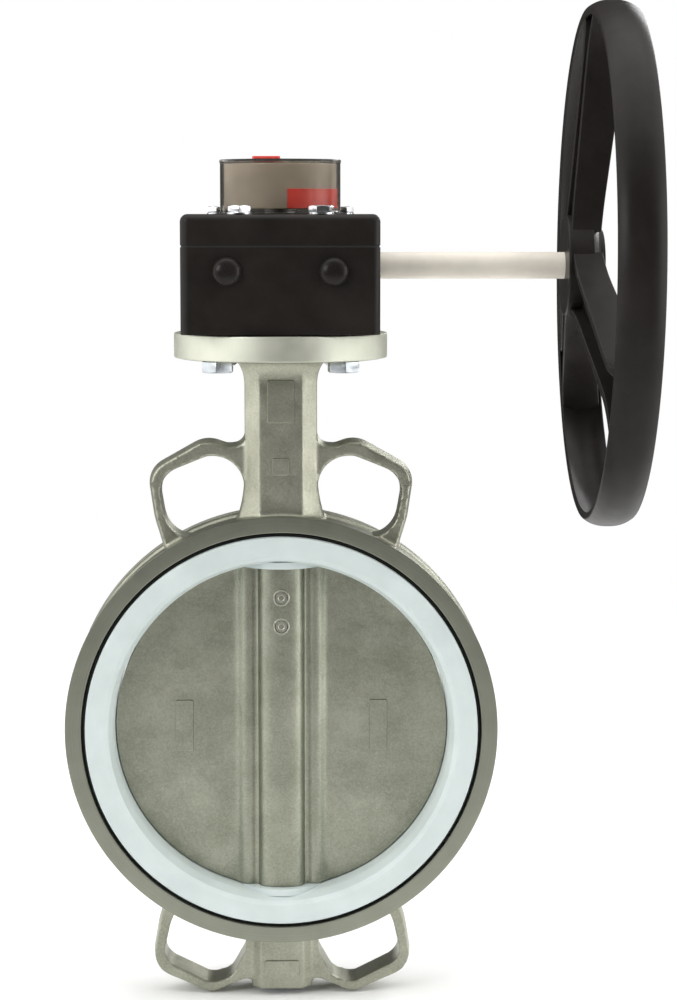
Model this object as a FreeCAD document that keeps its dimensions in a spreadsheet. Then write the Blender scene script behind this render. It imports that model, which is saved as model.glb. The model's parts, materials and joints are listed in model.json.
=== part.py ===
"""Wafer butterfly valve, nominal bore 200 mm, with a worm gearbox and a handwheel.

Origin: where the pipe axis crosses the stem axis, halfway through the body.
+Z runs up the stem to the gearbox, -Y is the front face, +X points at the handwheel.
All sizes are millimetres and live in the spreadsheet "Sizes".
"""
import FreeCAD, Part
import math
import os
import re

import Sketcher

V = FreeCAD.Vector

SIZES = {
    # body ring and seat, about the pipe axis
    "ring_radius": 127, "ring_chamfer": 1.2, "metal_half": 28, "seat_half": 30,
    "ring_waist_radius": 124.5, "waist_half": 12,
    "recess_radius": 117.4, "recess_floor": 22, "body_bore": 110,
    "liner_bore": 98.7, "liner_outer": 102.7, "liner_mouth": 102.6, "liner_bevel_end": 20,
    "lip_radius": 115.2, "lip_back": 24, "backing_lip": 26,
    "land_height": 95.6, "land_radius": 25, "land_top": 99.5,
    # disc and stems
    "disc_radius": 98.3, "disc_half": 7.5, "hub_end": 95.3,
    "shoulder_half": 27, "shoulder_top_half": 16, "shoulder_front": 13,
    "ridge_half": 14, "ridge_top_half": 11.5, "ridge_front": 20,
    "pad_across": 57.5, "pad_wide": 10.5, "pad_tall": 30.5, "pad_proud": 0.8,
    "stem_radius": 11, "running_gap": 0.05, "stem_square": 17, "square_start": 234, "stem_top": 270,
    "upper_stem_foot": 40, "lower_stem_head": 45, "lower_stem_foot": 147,
    "pin_radius": 4, "pin_high": 78, "pin_low": 61, "pin_half": 19.8,
    "clip_groove": 10, "clip_outer": 13.4, "clip_low": 217.2, "clip_thick": 1.2,
    # neck, flange and bottom boss
    "neck_half": 21.2, "panel_half": 12.5, "neck_foot": 100, "neck_root_half": 33,
    "neck_waist": 156, "plate_half": 8, "plate_low": 181, "plate_high": 206, "plate_proud": 0.8,
    "flare_out": 9, "flare_high": 15, "stem_bore": 14, "clip_bore": 15.5, "clip_floor": 217,
    "flange_radius": 62.5, "flange_low": 217.7, "flange_top": 232.9, "flange_edge": 1,
    "bolt_circle": 51, "bolt_hole": 5.5,
    "boss_half": 18.3, "boss_panel": 12.7, "boss_depth": 18.5, "boss_foot": 158.5,
    "boss_plate_low": 155, "boss_plate_high": 131, "plug_radius": 15, "plug_length": 7,
    # ears for the pipe bolts
    "ear_half": 13,
    # stem bearings
    "bush_length": 24, "upper_bush": 190, "middle_bush": 124, "lower_bush": -144,
    "ring_pitch": 8, "ring_first": 158, "ring_thick": 1.45,
    # gearbox
    "gasket": 0.8, "housing_half": 56.5, "housing_front": -58, "housing_rear": 66, "corner": 5,
    "housing_top": 283, "cover_top": 301.6, "wall": 6, "floor": 8, "post": 9,
    "cover_edge": 4.5,
    "sleeve_radius": 17, "sleeve_bush": 20, "boss_outer": 26, "sleeve_low": 234.4, "sleeve_top": 295,
    "spindle_radius": 9, "spindle_top": 305, "upper_bush_low": 287,
    "front_screw_across": 23.2, "front_screw_y": -48, "rear_screw_across": 37, "rear_screw_y": 54,
    "cover_screw_radius": 4, "cover_head_flats": 13, "cover_head": 5.3, "cover_screw_reach": 28,
    "mount_screw_radius": 5, "mount_head_flats": 17, "mount_head": 6.4, "mount_screw_reach": 29,
    "stop_across": 30.2, "stop_height": 269.4, "stop_radius": 5, "stop_tip": -8.8, "stop_point": 4,
    "dome_radius": 8.2, "dome_high": 5.5, "dome_skirt": 1.6,
    # worm drive
    "worm_y": 42, "worm_z": 271, "tooth_count": 24, "module": 2.5, "worm_radius": 12,
    "worm_half": 21, "thread_pitch_width": 3.0, "space_pitch_width": 5.1, "dedendum": 3.1,
    "thread_root": 2.9, "wheel_half": 7.5, "wheel_hub": 24, "wheel_hub_low": 243.6,
    "sector_start": -15, "sector_end": 105,
    "shaft_radius": 8, "shaft_left": -53, "journal_radius": 7, "shaft_right": 185,
    "worm_bush_radius": 11, "bush_boss": 15, "bush_boss_in": 9, "end_cap_radius": 10, "end_cap_proud": 1.5,
    "seal_thick": 4, "worm_pin_radius": 2,
    # position indicator
    "cap_radius": 35.5, "cap_top": 333, "cap_wall": 1.5, "cap_rim": 1.5, "cap_foot": 302.2, "cap_seat": 3.5,
    "mark_left": -16, "mark_deep": 28, "mark_high": 1.6,
    "drum_radius": 32.8, "drum_wall": 3, "drum_low": 304.6, "drum_top": 330.6, "flag_high": 316.3,
    "flag_thick": 0.6,
    # handwheel, about its own axis, X measured from the stem
    "wheel_radius": 157.5, "rim_left": 183, "rim_right": 210.5, "rim_wall": 4.5, "rim_edge_drop": 4.5,
    "hub_left": 171, "hub_right": 193.6, "hub_seat": 185.6, "seat_radius": 14.5,
    "hub_radius": 30, "hub_nose": 21, "hub_shoulder": 178,
    "spoke_start": 16, "spoke_end": 152.6, "spoke_half": 15, "spoke_wall": 5, "web": 5,
    "spoke_hub_left": 172.5, "spoke_hub_right": 190, "spoke_rim_left": 184.5, "spoke_rim_right": 209,
    "washer_radius": 13, "washer_thick": 2, "end_screw_flats": 13, "end_screw_head": 5.5,
    "end_screw_radius": 4, "end_screw_reach": 18, "key_wide": 5, "key_high": 5, "key_long": 18,
    "hub_key_long": 10.5,
}

FLARE_STEPS = 5  # sections in each of the neck's curved ends

doc = FreeCAD.newDocument("ButterflyValve")
sheet = doc.addObject("Spreadsheet::Sheet", "Sizes")
for row, (alias, number) in enumerate(SIZES.items(), start=1):
    sheet.set(f"A{row}", alias)
    sheet.set(f"B{row}", str(number))
    sheet.setAlias(f"B{row}", alias)
doc.recompute()

nodes = []


# ---------------------------------------------------------------- building helpers
def formula(text):
    """Expression with each size name pointed at the spreadsheet."""
    return re.sub(r"[a-z_]+", lambda word: f"Sizes.{word[0]}" if word[0] in SIZES else word[0], str(text))


def value(text):
    """Number that an expression gives now."""
    return float(sheet.evalExpression(formula(text)))


def bind(thing, **expressions):
    for name, text in expressions.items():
        thing.setExpression(name, formula(text))
    return thing


TURNS = {
    "X": FreeCAD.Rotation(V(0, 1, 0), 90),
    "Y": FreeCAD.Rotation(V(1, 0, 0), -90),
    "Z": FreeCAD.Rotation(),
}


def place(thing, at, turn=None):
    """Put an object at three expressions, optionally turned."""
    if turn is not None:
        thing.Placement = FreeCAD.Placement(V(), turn)
    for letter, text in zip("xyz", at):
        if str(text) != "0":
            thing.setExpression(f"Placement.Base.{letter}", formula(text))
    return thing


def node(thing, label):
    """Name a finished sub-part; the label is its file's name."""
    thing.Label = label
    nodes.append(thing)
    return thing


def new_body(name):
    return doc.addObject("PartDesign::Body", name)


def sketch_on(body, plane, offset="0"):
    """Empty sketch on one of the body's own origin planes, moved along its normal."""
    sketch = body.newObject("Sketcher::SketchObject", "Outline")
    support = [item for item in body.Origin.OriginFeatures if item.Role == plane][0]
    sketch.AttachmentSupport = [(support, "")]
    sketch.MapMode = "FlatFace"
    if offset != "0":
        sketch.setExpression("AttachmentOffset.Base.z", formula(offset))
    return sketch


def hold_point(sketch, edge, end, at):
    """Tie one end of an edge to two size expressions."""
    for kind, text in zip(("DistanceX", "DistanceY"), at):
        index = sketch.addConstraint(Sketcher.Constraint(kind, -1, 1, edge, end, value(text)))
        sketch.setExpression(f"Constraints[{index}]", formula(text))


def outline(sketch, points):
    """Closed outline of straight edges through points given as pairs of size expressions."""
    spots = [V(value(across), value(up), 0) for across, up in points]
    count = len(points)
    for index in range(count):
        sketch.addGeometry(Part.LineSegment(spots[index], spots[(index + 1) % count]), False)
    for index in range(count):
        sketch.addConstraint(Sketcher.Constraint("Coincident", index, 2, (index + 1) % count, 1))
    for index, point in enumerate(points):
        hold_point(sketch, index, 1, point)


def revolve_in(body, axis, points, subtract=False):
    """Ring or shaft turned about one of the body's axes; points are (radius, along)."""
    sketch = sketch_on(body, "XY_Plane" if axis == "Y" else "XZ_Plane")
    outline(sketch, [(along, radius) for radius, along in points] if axis == "X" else points)
    kind = "PartDesign::Groove" if subtract else "PartDesign::Revolution"
    feature = body.newObject(kind, "Turned")
    feature.Profile = sketch
    feature.ReferenceAxis = (sketch, ["H_Axis" if axis == "X" else "V_Axis"])
    feature.Angle = 360
    return feature


def turned(label, axis, points, at=("0", "0", "0"), keep=True):
    """One turned sub-part in its own body."""
    body = new_body(label)
    revolve_in(body, axis, points)
    place(body, at)
    return node(body, label) if keep else body


def tube(label, axis, inner, outer, low, high, at=("0", "0", "0"), keep=True):
    return turned(label, axis, [(inner, low), (outer, low), (outer, high), (inner, high)], at, keep)


def pad_in(body, plane, points, length, offset="0", middle=False):
    """Straight pad of an outline along the plane's normal, from the offset or about it."""
    sketch = sketch_on(body, plane, offset)
    outline(sketch, points)
    pad = body.newObject("PartDesign::Pad", "Prism")
    pad.Profile = sketch
    pad.SideType = "Symmetric" if middle else "One side"
    pad.setExpression("Length", formula(length))
    return pad


def prism(label, plane, points, length, offset="0", middle=False, rounds=()):
    """Pad in its own body; rounds are (corner numbers, radius) for its straight edges."""
    body = new_body(label)
    pad = pad_in(body, plane, points, length, offset, middle)
    for corners, radius in rounds:
        doc.recompute()
        round_corners(body, plane, [points[corner] for corner in corners], radius)
    return body


def round_corners(body, plane, corners, radius):
    """Fillet the pad's edges that stand on the given outline corners."""
    tip = body.Tip
    first, second = {"XY_Plane": (0, 1), "XZ_Plane": (0, 2), "YZ_Plane": (1, 2)}[plane]
    wanted = [(value(across), value(up)) for across, up in corners]
    names = []
    for number, edge in enumerate(tip.Shape.Edges, start=1):
        ends = [vertex.Point for vertex in edge.Vertexes]
        if len(ends) != 2:
            continue
        for across, up in wanted:
            if all(abs(end[first] - across) < 0.01 and abs(end[second] - up) < 0.01 for end in ends):
                names.append(f"Edge{number}")
    if len(names) != len(corners):
        raise RuntimeError(f"{body.Label}: found {len(names)} of {len(corners)} corner edges")
    fillet = body.newObject("PartDesign::Fillet", "Round")
    fillet.Base = (tip, names)
    fillet.setExpression("Radius", formula(radius))


def cylinder(radius, height, at=("0", "0", "0"), axis="Z"):
    rod = doc.addObject("Part::Cylinder", "Rod")
    bind(rod, Radius=radius, Height=height)
    return place(rod, at, TURNS[axis])


def block(wide, deep, high, at):
    """Box whose lower corner is at the given expressions."""
    box = doc.addObject("Part::Box", "Block")
    bind(box, Length=wide, Width=deep, Height=high)
    return place(box, at)


def hexagon(flats, height, at, axis="Z"):
    """Hexagonal prism by its width across flats."""
    nut = doc.addObject("Part::Prism", "Hexagon")
    nut.Polygon = 6
    bind(nut, Circumradius=f"({flats}) / (2 * cos(30))", Height=height)
    return place(nut, at, TURNS[axis])


def fuse(*things):
    joined = doc.addObject("Part::MultiFuse", "Joined")
    joined.Shapes = list(things)
    joined.Refine = True
    return joined


def cut(base, *tools):
    """Base less every tool."""
    carved = doc.addObject("Part::Cut", "Carved")
    carved.Base = base
    carved.Tool = tools[0] if len(tools) == 1 else fuse(*tools)
    carved.Refine = True
    return carved


def common(base, tool):
    shared = doc.addObject("Part::Common", "Shared")
    shared.Base, shared.Tool = base, tool
    return shared


def group(label, things):
    """Several identical pieces kept as one node of separate solids."""
    gathered = doc.addObject("Part::Compound", "Group")
    gathered.Links = list(things)
    return node(gathered, label)


def signed(number, text):
    return f"({text}) * {number}"


FOUR = [(1, 1), (-1, 1), (-1, -1), (1, -1)]


# ---------------------------------------------------------------- valve body
def make_valve_body():
    ring = turned("Ring", "Y", [
        ("body_bore", "-recess_floor"), ("recess_radius", "-recess_floor"),
        ("recess_radius", "-metal_half"), ("ring_radius - ring_chamfer", "-metal_half"),
        ("ring_radius", "-metal_half + ring_chamfer"), ("ring_radius", "-waist_half"),
        ("ring_waist_radius", "-waist_half + 2"), ("ring_waist_radius", "waist_half - 2"),
        ("ring_radius", "waist_half"), ("ring_radius", "metal_half - ring_chamfer"),
        ("ring_radius - ring_chamfer", "metal_half"), ("recess_radius", "metal_half"),
        ("recess_radius", "recess_floor"), ("body_bore", "recess_floor")], keep=False)
    neck = prism("Neck", "XY_Plane", octagon("neck_half", "neck_half"), "flange_low + 2 - neck_foot",
                 offset="neck_foot")
    root = neck_flare("NeckRoot", "neck_waist", "neck_foot + 12", "neck_root_half - neck_half", "4")
    flare = neck_flare("NeckFlare", "flange_low - flare_high", "flange_low", "flare_out", "flare_out")
    plate = block("2 * plate_half", "2 * (neck_half + plate_proud)", "plate_high - plate_low",
                  ("-plate_half", "-neck_half - plate_proud", "plate_low"))
    flange = turned("Flange", "Z", [
        ("0", "flange_low"), ("flange_radius - flange_edge", "flange_low"),
        ("flange_radius", "flange_low + flange_edge"), ("flange_radius", "flange_top - flange_edge"),
        ("flange_radius - flange_edge", "flange_top"), ("0", "flange_top")], keep=False)
    boss = prism("BottomBoss", "XY_Plane", [
        ("-boss_half", "-boss_depth + 5"), ("-boss_panel", "-boss_depth"), ("boss_panel", "-boss_depth"),
        ("boss_half", "-boss_depth + 5"), ("boss_half", "boss_depth - 5"), ("boss_panel", "boss_depth"),
        ("-boss_panel", "boss_depth"), ("-boss_half", "boss_depth - 5")],
        "boss_foot - 112", offset="-boss_foot")
    boss_plate = block("2 * (boss_panel - 3)", "2 * (boss_depth + plate_proud)",
                       "boss_plate_low - boss_plate_high",
                       ("-boss_panel + 3", "-boss_depth - plate_proud", "-boss_plate_low"))
    ears = [make_ear(side, high) for side in (1, -1) for high in (True, False)]
    solid = fuse(ring, neck, root, flare, plate, flange, boss, boss_plate, *ears)

    passage = turned("Passage", "Y", [("0", "-metal_half - 1"), ("body_bore", "-metal_half - 1"),
                                      ("body_bore", "metal_half + 1"), ("0", "metal_half + 1")], keep=False)
    recesses = [tube("Recess", "Y", "0", "recess_radius", low, high, keep=False) for low, high in
                (("-seat_half - 1", "-recess_floor"), ("recess_floor", "seat_half + 1"))]
    upper_bore = cylinder("stem_bore", "flange_top + 1 - body_bore + 5", ("0", "0", "body_bore - 5"))
    clip_bore = cylinder("clip_bore", "flange_top - clip_floor + 1", ("0", "0", "clip_floor"))
    lower_bore = cylinder("stem_bore", "boss_foot - plug_length - body_bore + 5",
                          ("0", "0", "-boss_foot + plug_length"))
    plug_bore = cylinder("plug_radius", "plug_length + 1", ("0", "0", "-boss_foot - 1"))
    holes = [cylinder("bolt_hole", "flange_top - flange_low + 2",
                      (signed(a, "bolt_circle * cos(45)"), signed(b, "bolt_circle * sin(45)"),
                       "flange_low - 1")) for a, b in FOUR]
    node(cut(solid, passage, *recesses, upper_bore, clip_bore, lower_bore, plug_bore, *holes), "valve_body")


def octagon(across, deep):
    """Column section, across by deep half widths, with its four corners cut back."""
    cut_back = "(neck_half - panel_half)"
    near, low = f"({across} - {cut_back})", f"({deep} - {cut_back})"
    return [(f"-{near}", f"-({deep})"), (near, f"-({deep})"), (across, f"-{low}"), (across, low),
            (near, deep), (f"-{near}", deep), (f"-({across})", low), (f"-({across})", f"-{low}")]


def neck_flare(name, near, far, wider, deeper):
    """Column that spreads in a quarter-ellipse from the plain neck at one height to a wide end."""
    body = new_body(name)
    sections = []
    for step in range(FLARE_STEPS + 1):
        along = step / FLARE_STEPS
        spread = 1 - math.sqrt(1 - along ** 2)
        sketch = sketch_on(body, "XY_Plane", f"{near} + ({far} - ({near})) * {along:.4f}")
        outline(sketch, octagon(f"(neck_half + ({wider}) * {spread:.4f})",
                                f"(neck_half + ({deeper}) * {spread:.4f})"))
        sections.append(sketch)
    loft = body.newObject("PartDesign::AdditiveLoft", "Loft")
    loft.Profile = sections[0]
    loft.Sections = sections[1:]
    loft.Ruled = True
    return body


# Each corner is (across, up, radius of its round); "0" leaves it sharp inside the casting.
UPPER_EAR = [("16", "175", "0"), ("23", "168.4", "6"), ("47", "169.5", "14"), ("77.4", "151.5", "13"),
             ("74.4", "129", "30"), ("66", "98", "0"), ("16", "98", "0")]
UPPER_EYE = [("21.6", "112", "0"), ("21.6", "162", "17"), ("43", "162.6", "10"), ("72.6", "149", "9"),
             ("64.2", "118", "7"), ("48", "112", "0")]
LOWER_EAR = [("12", "-155", "0"), ("27", "-155.6", "8"), ("42", "-163.4", "12"), ("78.6", "-146.5", "11"),
             ("73.6", "-118", "30"), ("66", "-98", "0"), ("12", "-98", "0")]
LOWER_EYE = [("20.8", "-112", "0"), ("20.8", "-136", "14"), ("36", "-157", "8"), ("72", "-142.4", "8"),
             ("67", "-118", "20"), ("52", "-106", "0")]


def make_ear(side, high):
    """Open ear beside the neck or the bottom boss, round one pipe bolt's clearance eye."""
    rim, eye = (UPPER_EAR, UPPER_EYE) if high else (LOWER_EAR, LOWER_EYE)
    outer = rounded_ear("EarRim", side, rim, "2 * ear_half")
    inner = rounded_ear("EarEye", side, eye, "2 * ear_half + 2")
    return cut(outer, inner)


def rounded_ear(name, side, corners, depth):
    points = [(signed(side, across), up) for across, up, radius in corners]
    rounds = [((number,), corner[2]) for number, corner in enumerate(corners) if corner[2] != "0"]
    return prism(name, "XZ_Plane", points, depth, middle=True, rounds=rounds)


# ---------------------------------------------------------------- seat
def make_seat():
    liner = turned("Liner", "Y", [
        ("liner_bore", "-liner_bevel_end"), ("liner_mouth", "-seat_half"), ("lip_radius", "-seat_half"),
        ("lip_radius", "-lip_back"), ("liner_outer", "-lip_back"), ("liner_outer", "lip_back"),
        ("lip_radius", "lip_back"), ("lip_radius", "seat_half"), ("liner_mouth", "seat_half"),
        ("liner_bore", "liner_bevel_end")], keep=False)
    lands = [cylinder("land_radius", "land_top - land_height", ("0", "0", foot))
             for foot in ("land_height", "-land_top")]
    stem_hole = cylinder("stem_radius + running_gap", "2 * body_bore", ("0", "0", "-body_bore"))
    node(cut(fuse(liner, *lands), stem_hole), "seat_liner")
    backing = turned("Backing", "Y", [
        ("liner_outer", "-lip_back"), ("lip_radius", "-lip_back"), ("lip_radius", "-backing_lip"),
        ("recess_radius", "-backing_lip"), ("recess_radius", "-recess_floor"),
        ("body_bore", "-recess_floor"), ("body_bore", "recess_floor"), ("recess_radius", "recess_floor"),
        ("recess_radius", "backing_lip"), ("lip_radius", "backing_lip"), ("lip_radius", "lip_back"),
        ("liner_outer", "lip_back")], keep=False)
    clearance = cylinder("stem_bore", "2 * recess_radius", ("0", "0", "-recess_radius"))
    node(cut(backing, clearance), "seat_backing_ring")


# ---------------------------------------------------------------- disc and stems
def make_disc():
    square = [("-disc_radius", "-disc_radius"), ("disc_radius", "-disc_radius"),
              ("disc_radius", "disc_radius"), ("-disc_radius", "disc_radius")]
    plate = prism("DiscPlate", "XZ_Plane", square,
                  "2 * disc_half", middle=True)
    ball = doc.addObject("Part::Sphere", "Ball")
    bind(ball, Radius="disc_radius")
    shoulder = prism("Shoulder", "XY_Plane", [
        ("-shoulder_half", "-disc_half"), ("-shoulder_top_half", "-shoulder_front"),
        ("shoulder_top_half", "-shoulder_front"), ("shoulder_half", "-disc_half"),
        ("shoulder_half", "disc_half"), ("shoulder_top_half", "shoulder_front"),
        ("-shoulder_top_half", "shoulder_front"), ("-shoulder_half", "disc_half")],
        "2 * hub_end", middle=True)
    ridge = prism("Ridge", "XY_Plane", [
        ("-ridge_half", "-shoulder_front + 1"), ("-ridge_top_half", "-ridge_front"),
        ("ridge_top_half", "-ridge_front"), ("ridge_half", "-shoulder_front + 1"),
        ("ridge_half", "shoulder_front - 1"), ("ridge_top_half", "ridge_front"),
        ("-ridge_top_half", "ridge_front"), ("-ridge_half", "shoulder_front - 1")],
        "2 * hub_end", middle=True)
    pads = [block("pad_wide", "2 * (disc_half + pad_proud)", "pad_tall",
                  (f"{side} * pad_across - pad_wide / 2", "-disc_half - pad_proud", "-pad_tall / 2"))
            for side in (1, -1)]
    blank = common(fuse(plate, shoulder, ridge, *pads), ball)
    flats = [cylinder("land_radius + 4", "20", ("0", "0", foot)) for foot in ("hub_end", "-hub_end - 20")]
    upper = cylinder("stem_radius", "disc_radius", ("0", "0", "upper_stem_foot"))
    lower = cylinder("stem_radius", "disc_radius", ("0", "0", "-lower_stem_head - disc_radius"))
    pins = [cylinder("pin_radius", "100", ("0", "-50", height), "Y") for height in ("pin_high", "pin_low")]
    node(cut(blank, *flats, upper, lower, *pins), "disc")


def make_stems():
    pins = [cylinder("pin_radius", "2 * pin_half", ("0", "-pin_half", height), "Y")
            for height in ("pin_high", "pin_low")]
    group("disc_pins", pins)
    rod = turned("UpperStemRod", "Z", [
        ("0", "upper_stem_foot"), ("stem_radius", "upper_stem_foot"), ("stem_radius", "clip_low"),
        ("clip_groove", "clip_low"), ("clip_groove", "clip_low + clip_thick"),
        ("stem_radius", "clip_low + clip_thick"), ("stem_radius", "square_start"), ("0", "square_start")],
        keep=False)
    square = block("stem_square", "stem_square", "stem_top - square_start + 1",
                   ("-stem_square / 2", "-stem_square / 2", "square_start - 1"))
    square_round = common(square, cylinder("stem_radius", "100", ("0", "0", "square_start - 10")))
    holes = [cylinder("pin_radius", "100", ("0", "-50", height), "Y") for height in ("pin_high", "pin_low")]
    node(cut(fuse(rod, square_round), *holes), "upper_stem")
    turned("lower_stem", "Z", [("0", "-lower_stem_foot"), ("stem_radius - 1", "-lower_stem_foot"),
                               ("stem_radius", "-lower_stem_foot + 1"), ("stem_radius", "-lower_stem_head"),
                               ("0", "-lower_stem_head")])
    tube("stem_retaining_ring", "Z", "clip_groove", "clip_outer", "clip_low", "clip_low + clip_thick")


def make_stem_bearings():
    for label, foot in (("upper_stem_bush", "upper_bush"), ("middle_stem_bush", "middle_bush"),
                        ("lower_stem_bush", "lower_bush")):
        tube(label, "Z", "stem_radius + running_gap", "stem_bore", foot, f"{foot} + bush_length")
    rings = []
    for number in range(3):
        rubber = doc.addObject("Part::Torus", "StemRing")
        bind(rubber, Radius1="stem_bore - ring_thick", Radius2="ring_thick")
        rings.append(place(rubber, ("0", "0", f"ring_first + {number} * ring_pitch")))
    group("stem_o_rings", rings)
    tube("bottom_plug_seal", "Z", "stem_bore - 4", "stem_bore", "-boss_foot + plug_length",
         "-boss_foot + plug_length + 1.5")
    plug = cylinder("plug_radius", "plug_length", ("0", "0", "-boss_foot"))
    socket = hexagon("12", "5", ("0", "0", "-boss_foot - 1"))
    node(cut(plug, socket), "bottom_plug")


# ---------------------------------------------------------------- gearbox casing
def casing_outline(inset):
    left, right = f"-housing_half + {inset}", f"housing_half - {inset}"
    front, rear = f"housing_front + {inset}", f"housing_rear - {inset}"
    return [(left, front), (right, front), (right, rear), (left, rear)]


def casing_block(name, inset, low, high, radius):
    return prism(name, "XY_Plane", casing_outline(inset), f"{high} - ({low})", offset=low,
                 rounds=[((0, 1, 2, 3), radius)])


def cover_screw_places():
    return [(signed(side, across), y) for side in (1, -1) for across, y in
            (("front_screw_across", "front_screw_y"), ("rear_screw_across", "rear_screw_y"))]


def mount_screw_places():
    return [(signed(a, "bolt_circle * cos(45)"), signed(b, "bolt_circle * sin(45)")) for a, b in FOUR]


def make_housing():
    low = "flange_top + gasket"
    shell = cut(casing_block("Casing", "0", low, "housing_top", "corner"),
                casing_block("CasingRoom", "wall", f"{low} + floor", "housing_top + 1", "2"))
    limit = casing_block("CasingLimit", "0", low, "housing_top", "corner")
    posts = [cylinder("post", f"housing_top - ({low})", (x, y, low)) for x, y in cover_screw_places()]
    mount_posts = [cylinder("post", f"18", (x, y, low)) for x, y in mount_screw_places()]
    floor_boss = cylinder("boss_outer", "floor + 0.6", ("0", "0", low))
    bosses = [cylinder("bush_boss", "wall + bush_boss_in", (foot, "worm_y", "worm_z"), "X")
              for foot in ("-housing_half + 0.5", "housing_half - wall - bush_boss_in - 0.5")]
    stop_bosses = [cylinder("stop_radius + 5", "12", (signed(side, "stop_across"), "housing_front + 1",
                                                     "stop_height"), "Y") for side in (1, -1)]
    solid = common(fuse(shell, floor_boss, *posts, *mount_posts, *bosses, *stop_bosses), limit)
    holes = [cylinder("cover_screw_radius", "cover_screw_reach",
                      (x, y, "housing_top - cover_screw_reach + 6"))
             for x, y in cover_screw_places()]
    holes += [cylinder("mount_screw_radius", "mount_screw_reach - 12", (x, y, f"{low} - 1"))
              for x, y in mount_screw_places()]
    holes += [cylinder("stop_radius", "30", (signed(side, "stop_across"), "housing_front - 1",
                                            "stop_height"), "Y") for side in (1, -1)]
    holes.append(cylinder("sleeve_bush", "floor + 4", ("0", "0", f"{low} - 1")))
    holes.append(cylinder("worm_bush_radius", "3 * housing_half", ("-1.5 * housing_half", "worm_y",
                                                                    "worm_z"), "X"))
    node(cut(solid, *holes), "gearbox_housing")


def make_cover():
    gasket_holes = [cylinder("cover_screw_radius + 0.5", "10", (x, y, "housing_top - 2"))
                    for x, y in cover_screw_places()]
    node(cut(casing_block("GasketBlank", "0.4", "housing_top", "housing_top + gasket", "corner"),
             casing_block("GasketRoom", "wall", "housing_top - 1", "housing_top + gasket + 1", "2"),
             *gasket_holes), "cover_gasket")
    low = "housing_top + gasket"
    body = new_body("CoverBlank")
    pad_in(body, "XY_Plane", casing_outline("0"), f"cover_top - ({low})", offset=low)
    doc.recompute()
    round_corners(body, "XY_Plane", casing_outline("0"), "corner")
    doc.recompute()
    rounded = body.Tip
    edges = [f"Edge{number}" for number, edge in enumerate(rounded.Shape.Edges, start=1)
             if all(abs(vertex.Z - value("cover_top")) < 0.01 for vertex in edge.Vertexes)]
    soften = body.newObject("PartDesign::Fillet", "TopEdge")
    soften.Base = (rounded, edges)
    soften.setExpression("Radius", formula("cover_edge"))
    room = casing_block("CoverRoom", "wall", f"{low} - 1", "cover_top - wall", "2")
    limit = casing_block("CoverPostLimit", "0", low, "cover_top", "corner")
    posts = [cylinder("post", f"cover_top - ({low}) - 2", (x, y, low)) for x, y in cover_screw_places()]
    hub = cylinder("boss_outer", "cover_top - upper_bush_low - 2", ("0", "0", "upper_bush_low"))
    holes = [cylinder("cover_screw_radius + 0.5", "30", (x, y, f"{low} - 1"))
             for x, y in cover_screw_places()]
    bush_room = cylinder("sleeve_bush", "cover_top - wall - upper_bush_low + 1",
                         ("0", "0", "upper_bush_low - 1"))
    spindle_room = cylinder("spindle_radius + 2.9", "20", ("0", "0", "cover_top - wall - 1"))
    solid = common(fuse(cut(body, room), hub, *posts), limit)
    node(cut(solid, *holes, bush_room, spindle_room), "gearbox_cover")


def make_casing_screws():
    screws = []
    for x, y in mount_screw_places():
        shank = cylinder("mount_screw_radius", "mount_screw_reach + 1", (x, y, "flange_low - 1"))
        head = hexagon("mount_head_flats", "mount_head", (x, y, "flange_low - mount_head"))
        screws.append(fuse(shank, head))
    group("mounting_bolts", screws)
    screws = []
    for x, y in cover_screw_places():
        shank = cylinder("cover_screw_radius", "cover_screw_reach + 1",
                         (x, y, "cover_top - cover_screw_reach"))
        head = hexagon("cover_head_flats", "cover_head", (x, y, "cover_top"))
        screws.append(fuse(shank, head))
    group("cover_bolts", screws)
    gasket_holes = [cylinder("bolt_hole", "10", (x, y, "flange_top - 2")) for x, y in mount_screw_places()]
    node(cut(tube("FlangeGasketBlank", "Z", "sleeve_bush", "55.5", "flange_top", "flange_top + gasket",
                  keep=False), *gasket_holes), "flange_gasket")
    stops, domes = [], []
    for side in (1, -1):
        across = signed(side, "stop_across")
        rod = cylinder("stop_radius", "stop_tip - 3 - housing_front + 3", (across, "housing_front - 3",
                                                                        "stop_height"), "Y")
        point = cylinder("stop_point", "4", (across, "stop_tip - 4", "stop_height"), "Y")
        stops.append(fuse(rod, point))
        domes.append(turned("Dome", "Y", [
            ("stop_radius", "housing_front"), ("dome_radius", "housing_front"),
            ("dome_radius", "housing_front - dome_skirt"),
            ("dome_radius * 0.88", "housing_front - dome_high * 0.66"),
            ("dome_radius * 0.62", "housing_front - dome_high * 0.9"), ("0", "housing_front - dome_high"),
            ("0", "housing_front - 3"), ("stop_radius", "housing_front - 3")],
            (across, "0", "stop_height"), keep=False))
    group("stop_screws", stops)
    group("stop_screw_caps", domes)


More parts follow.
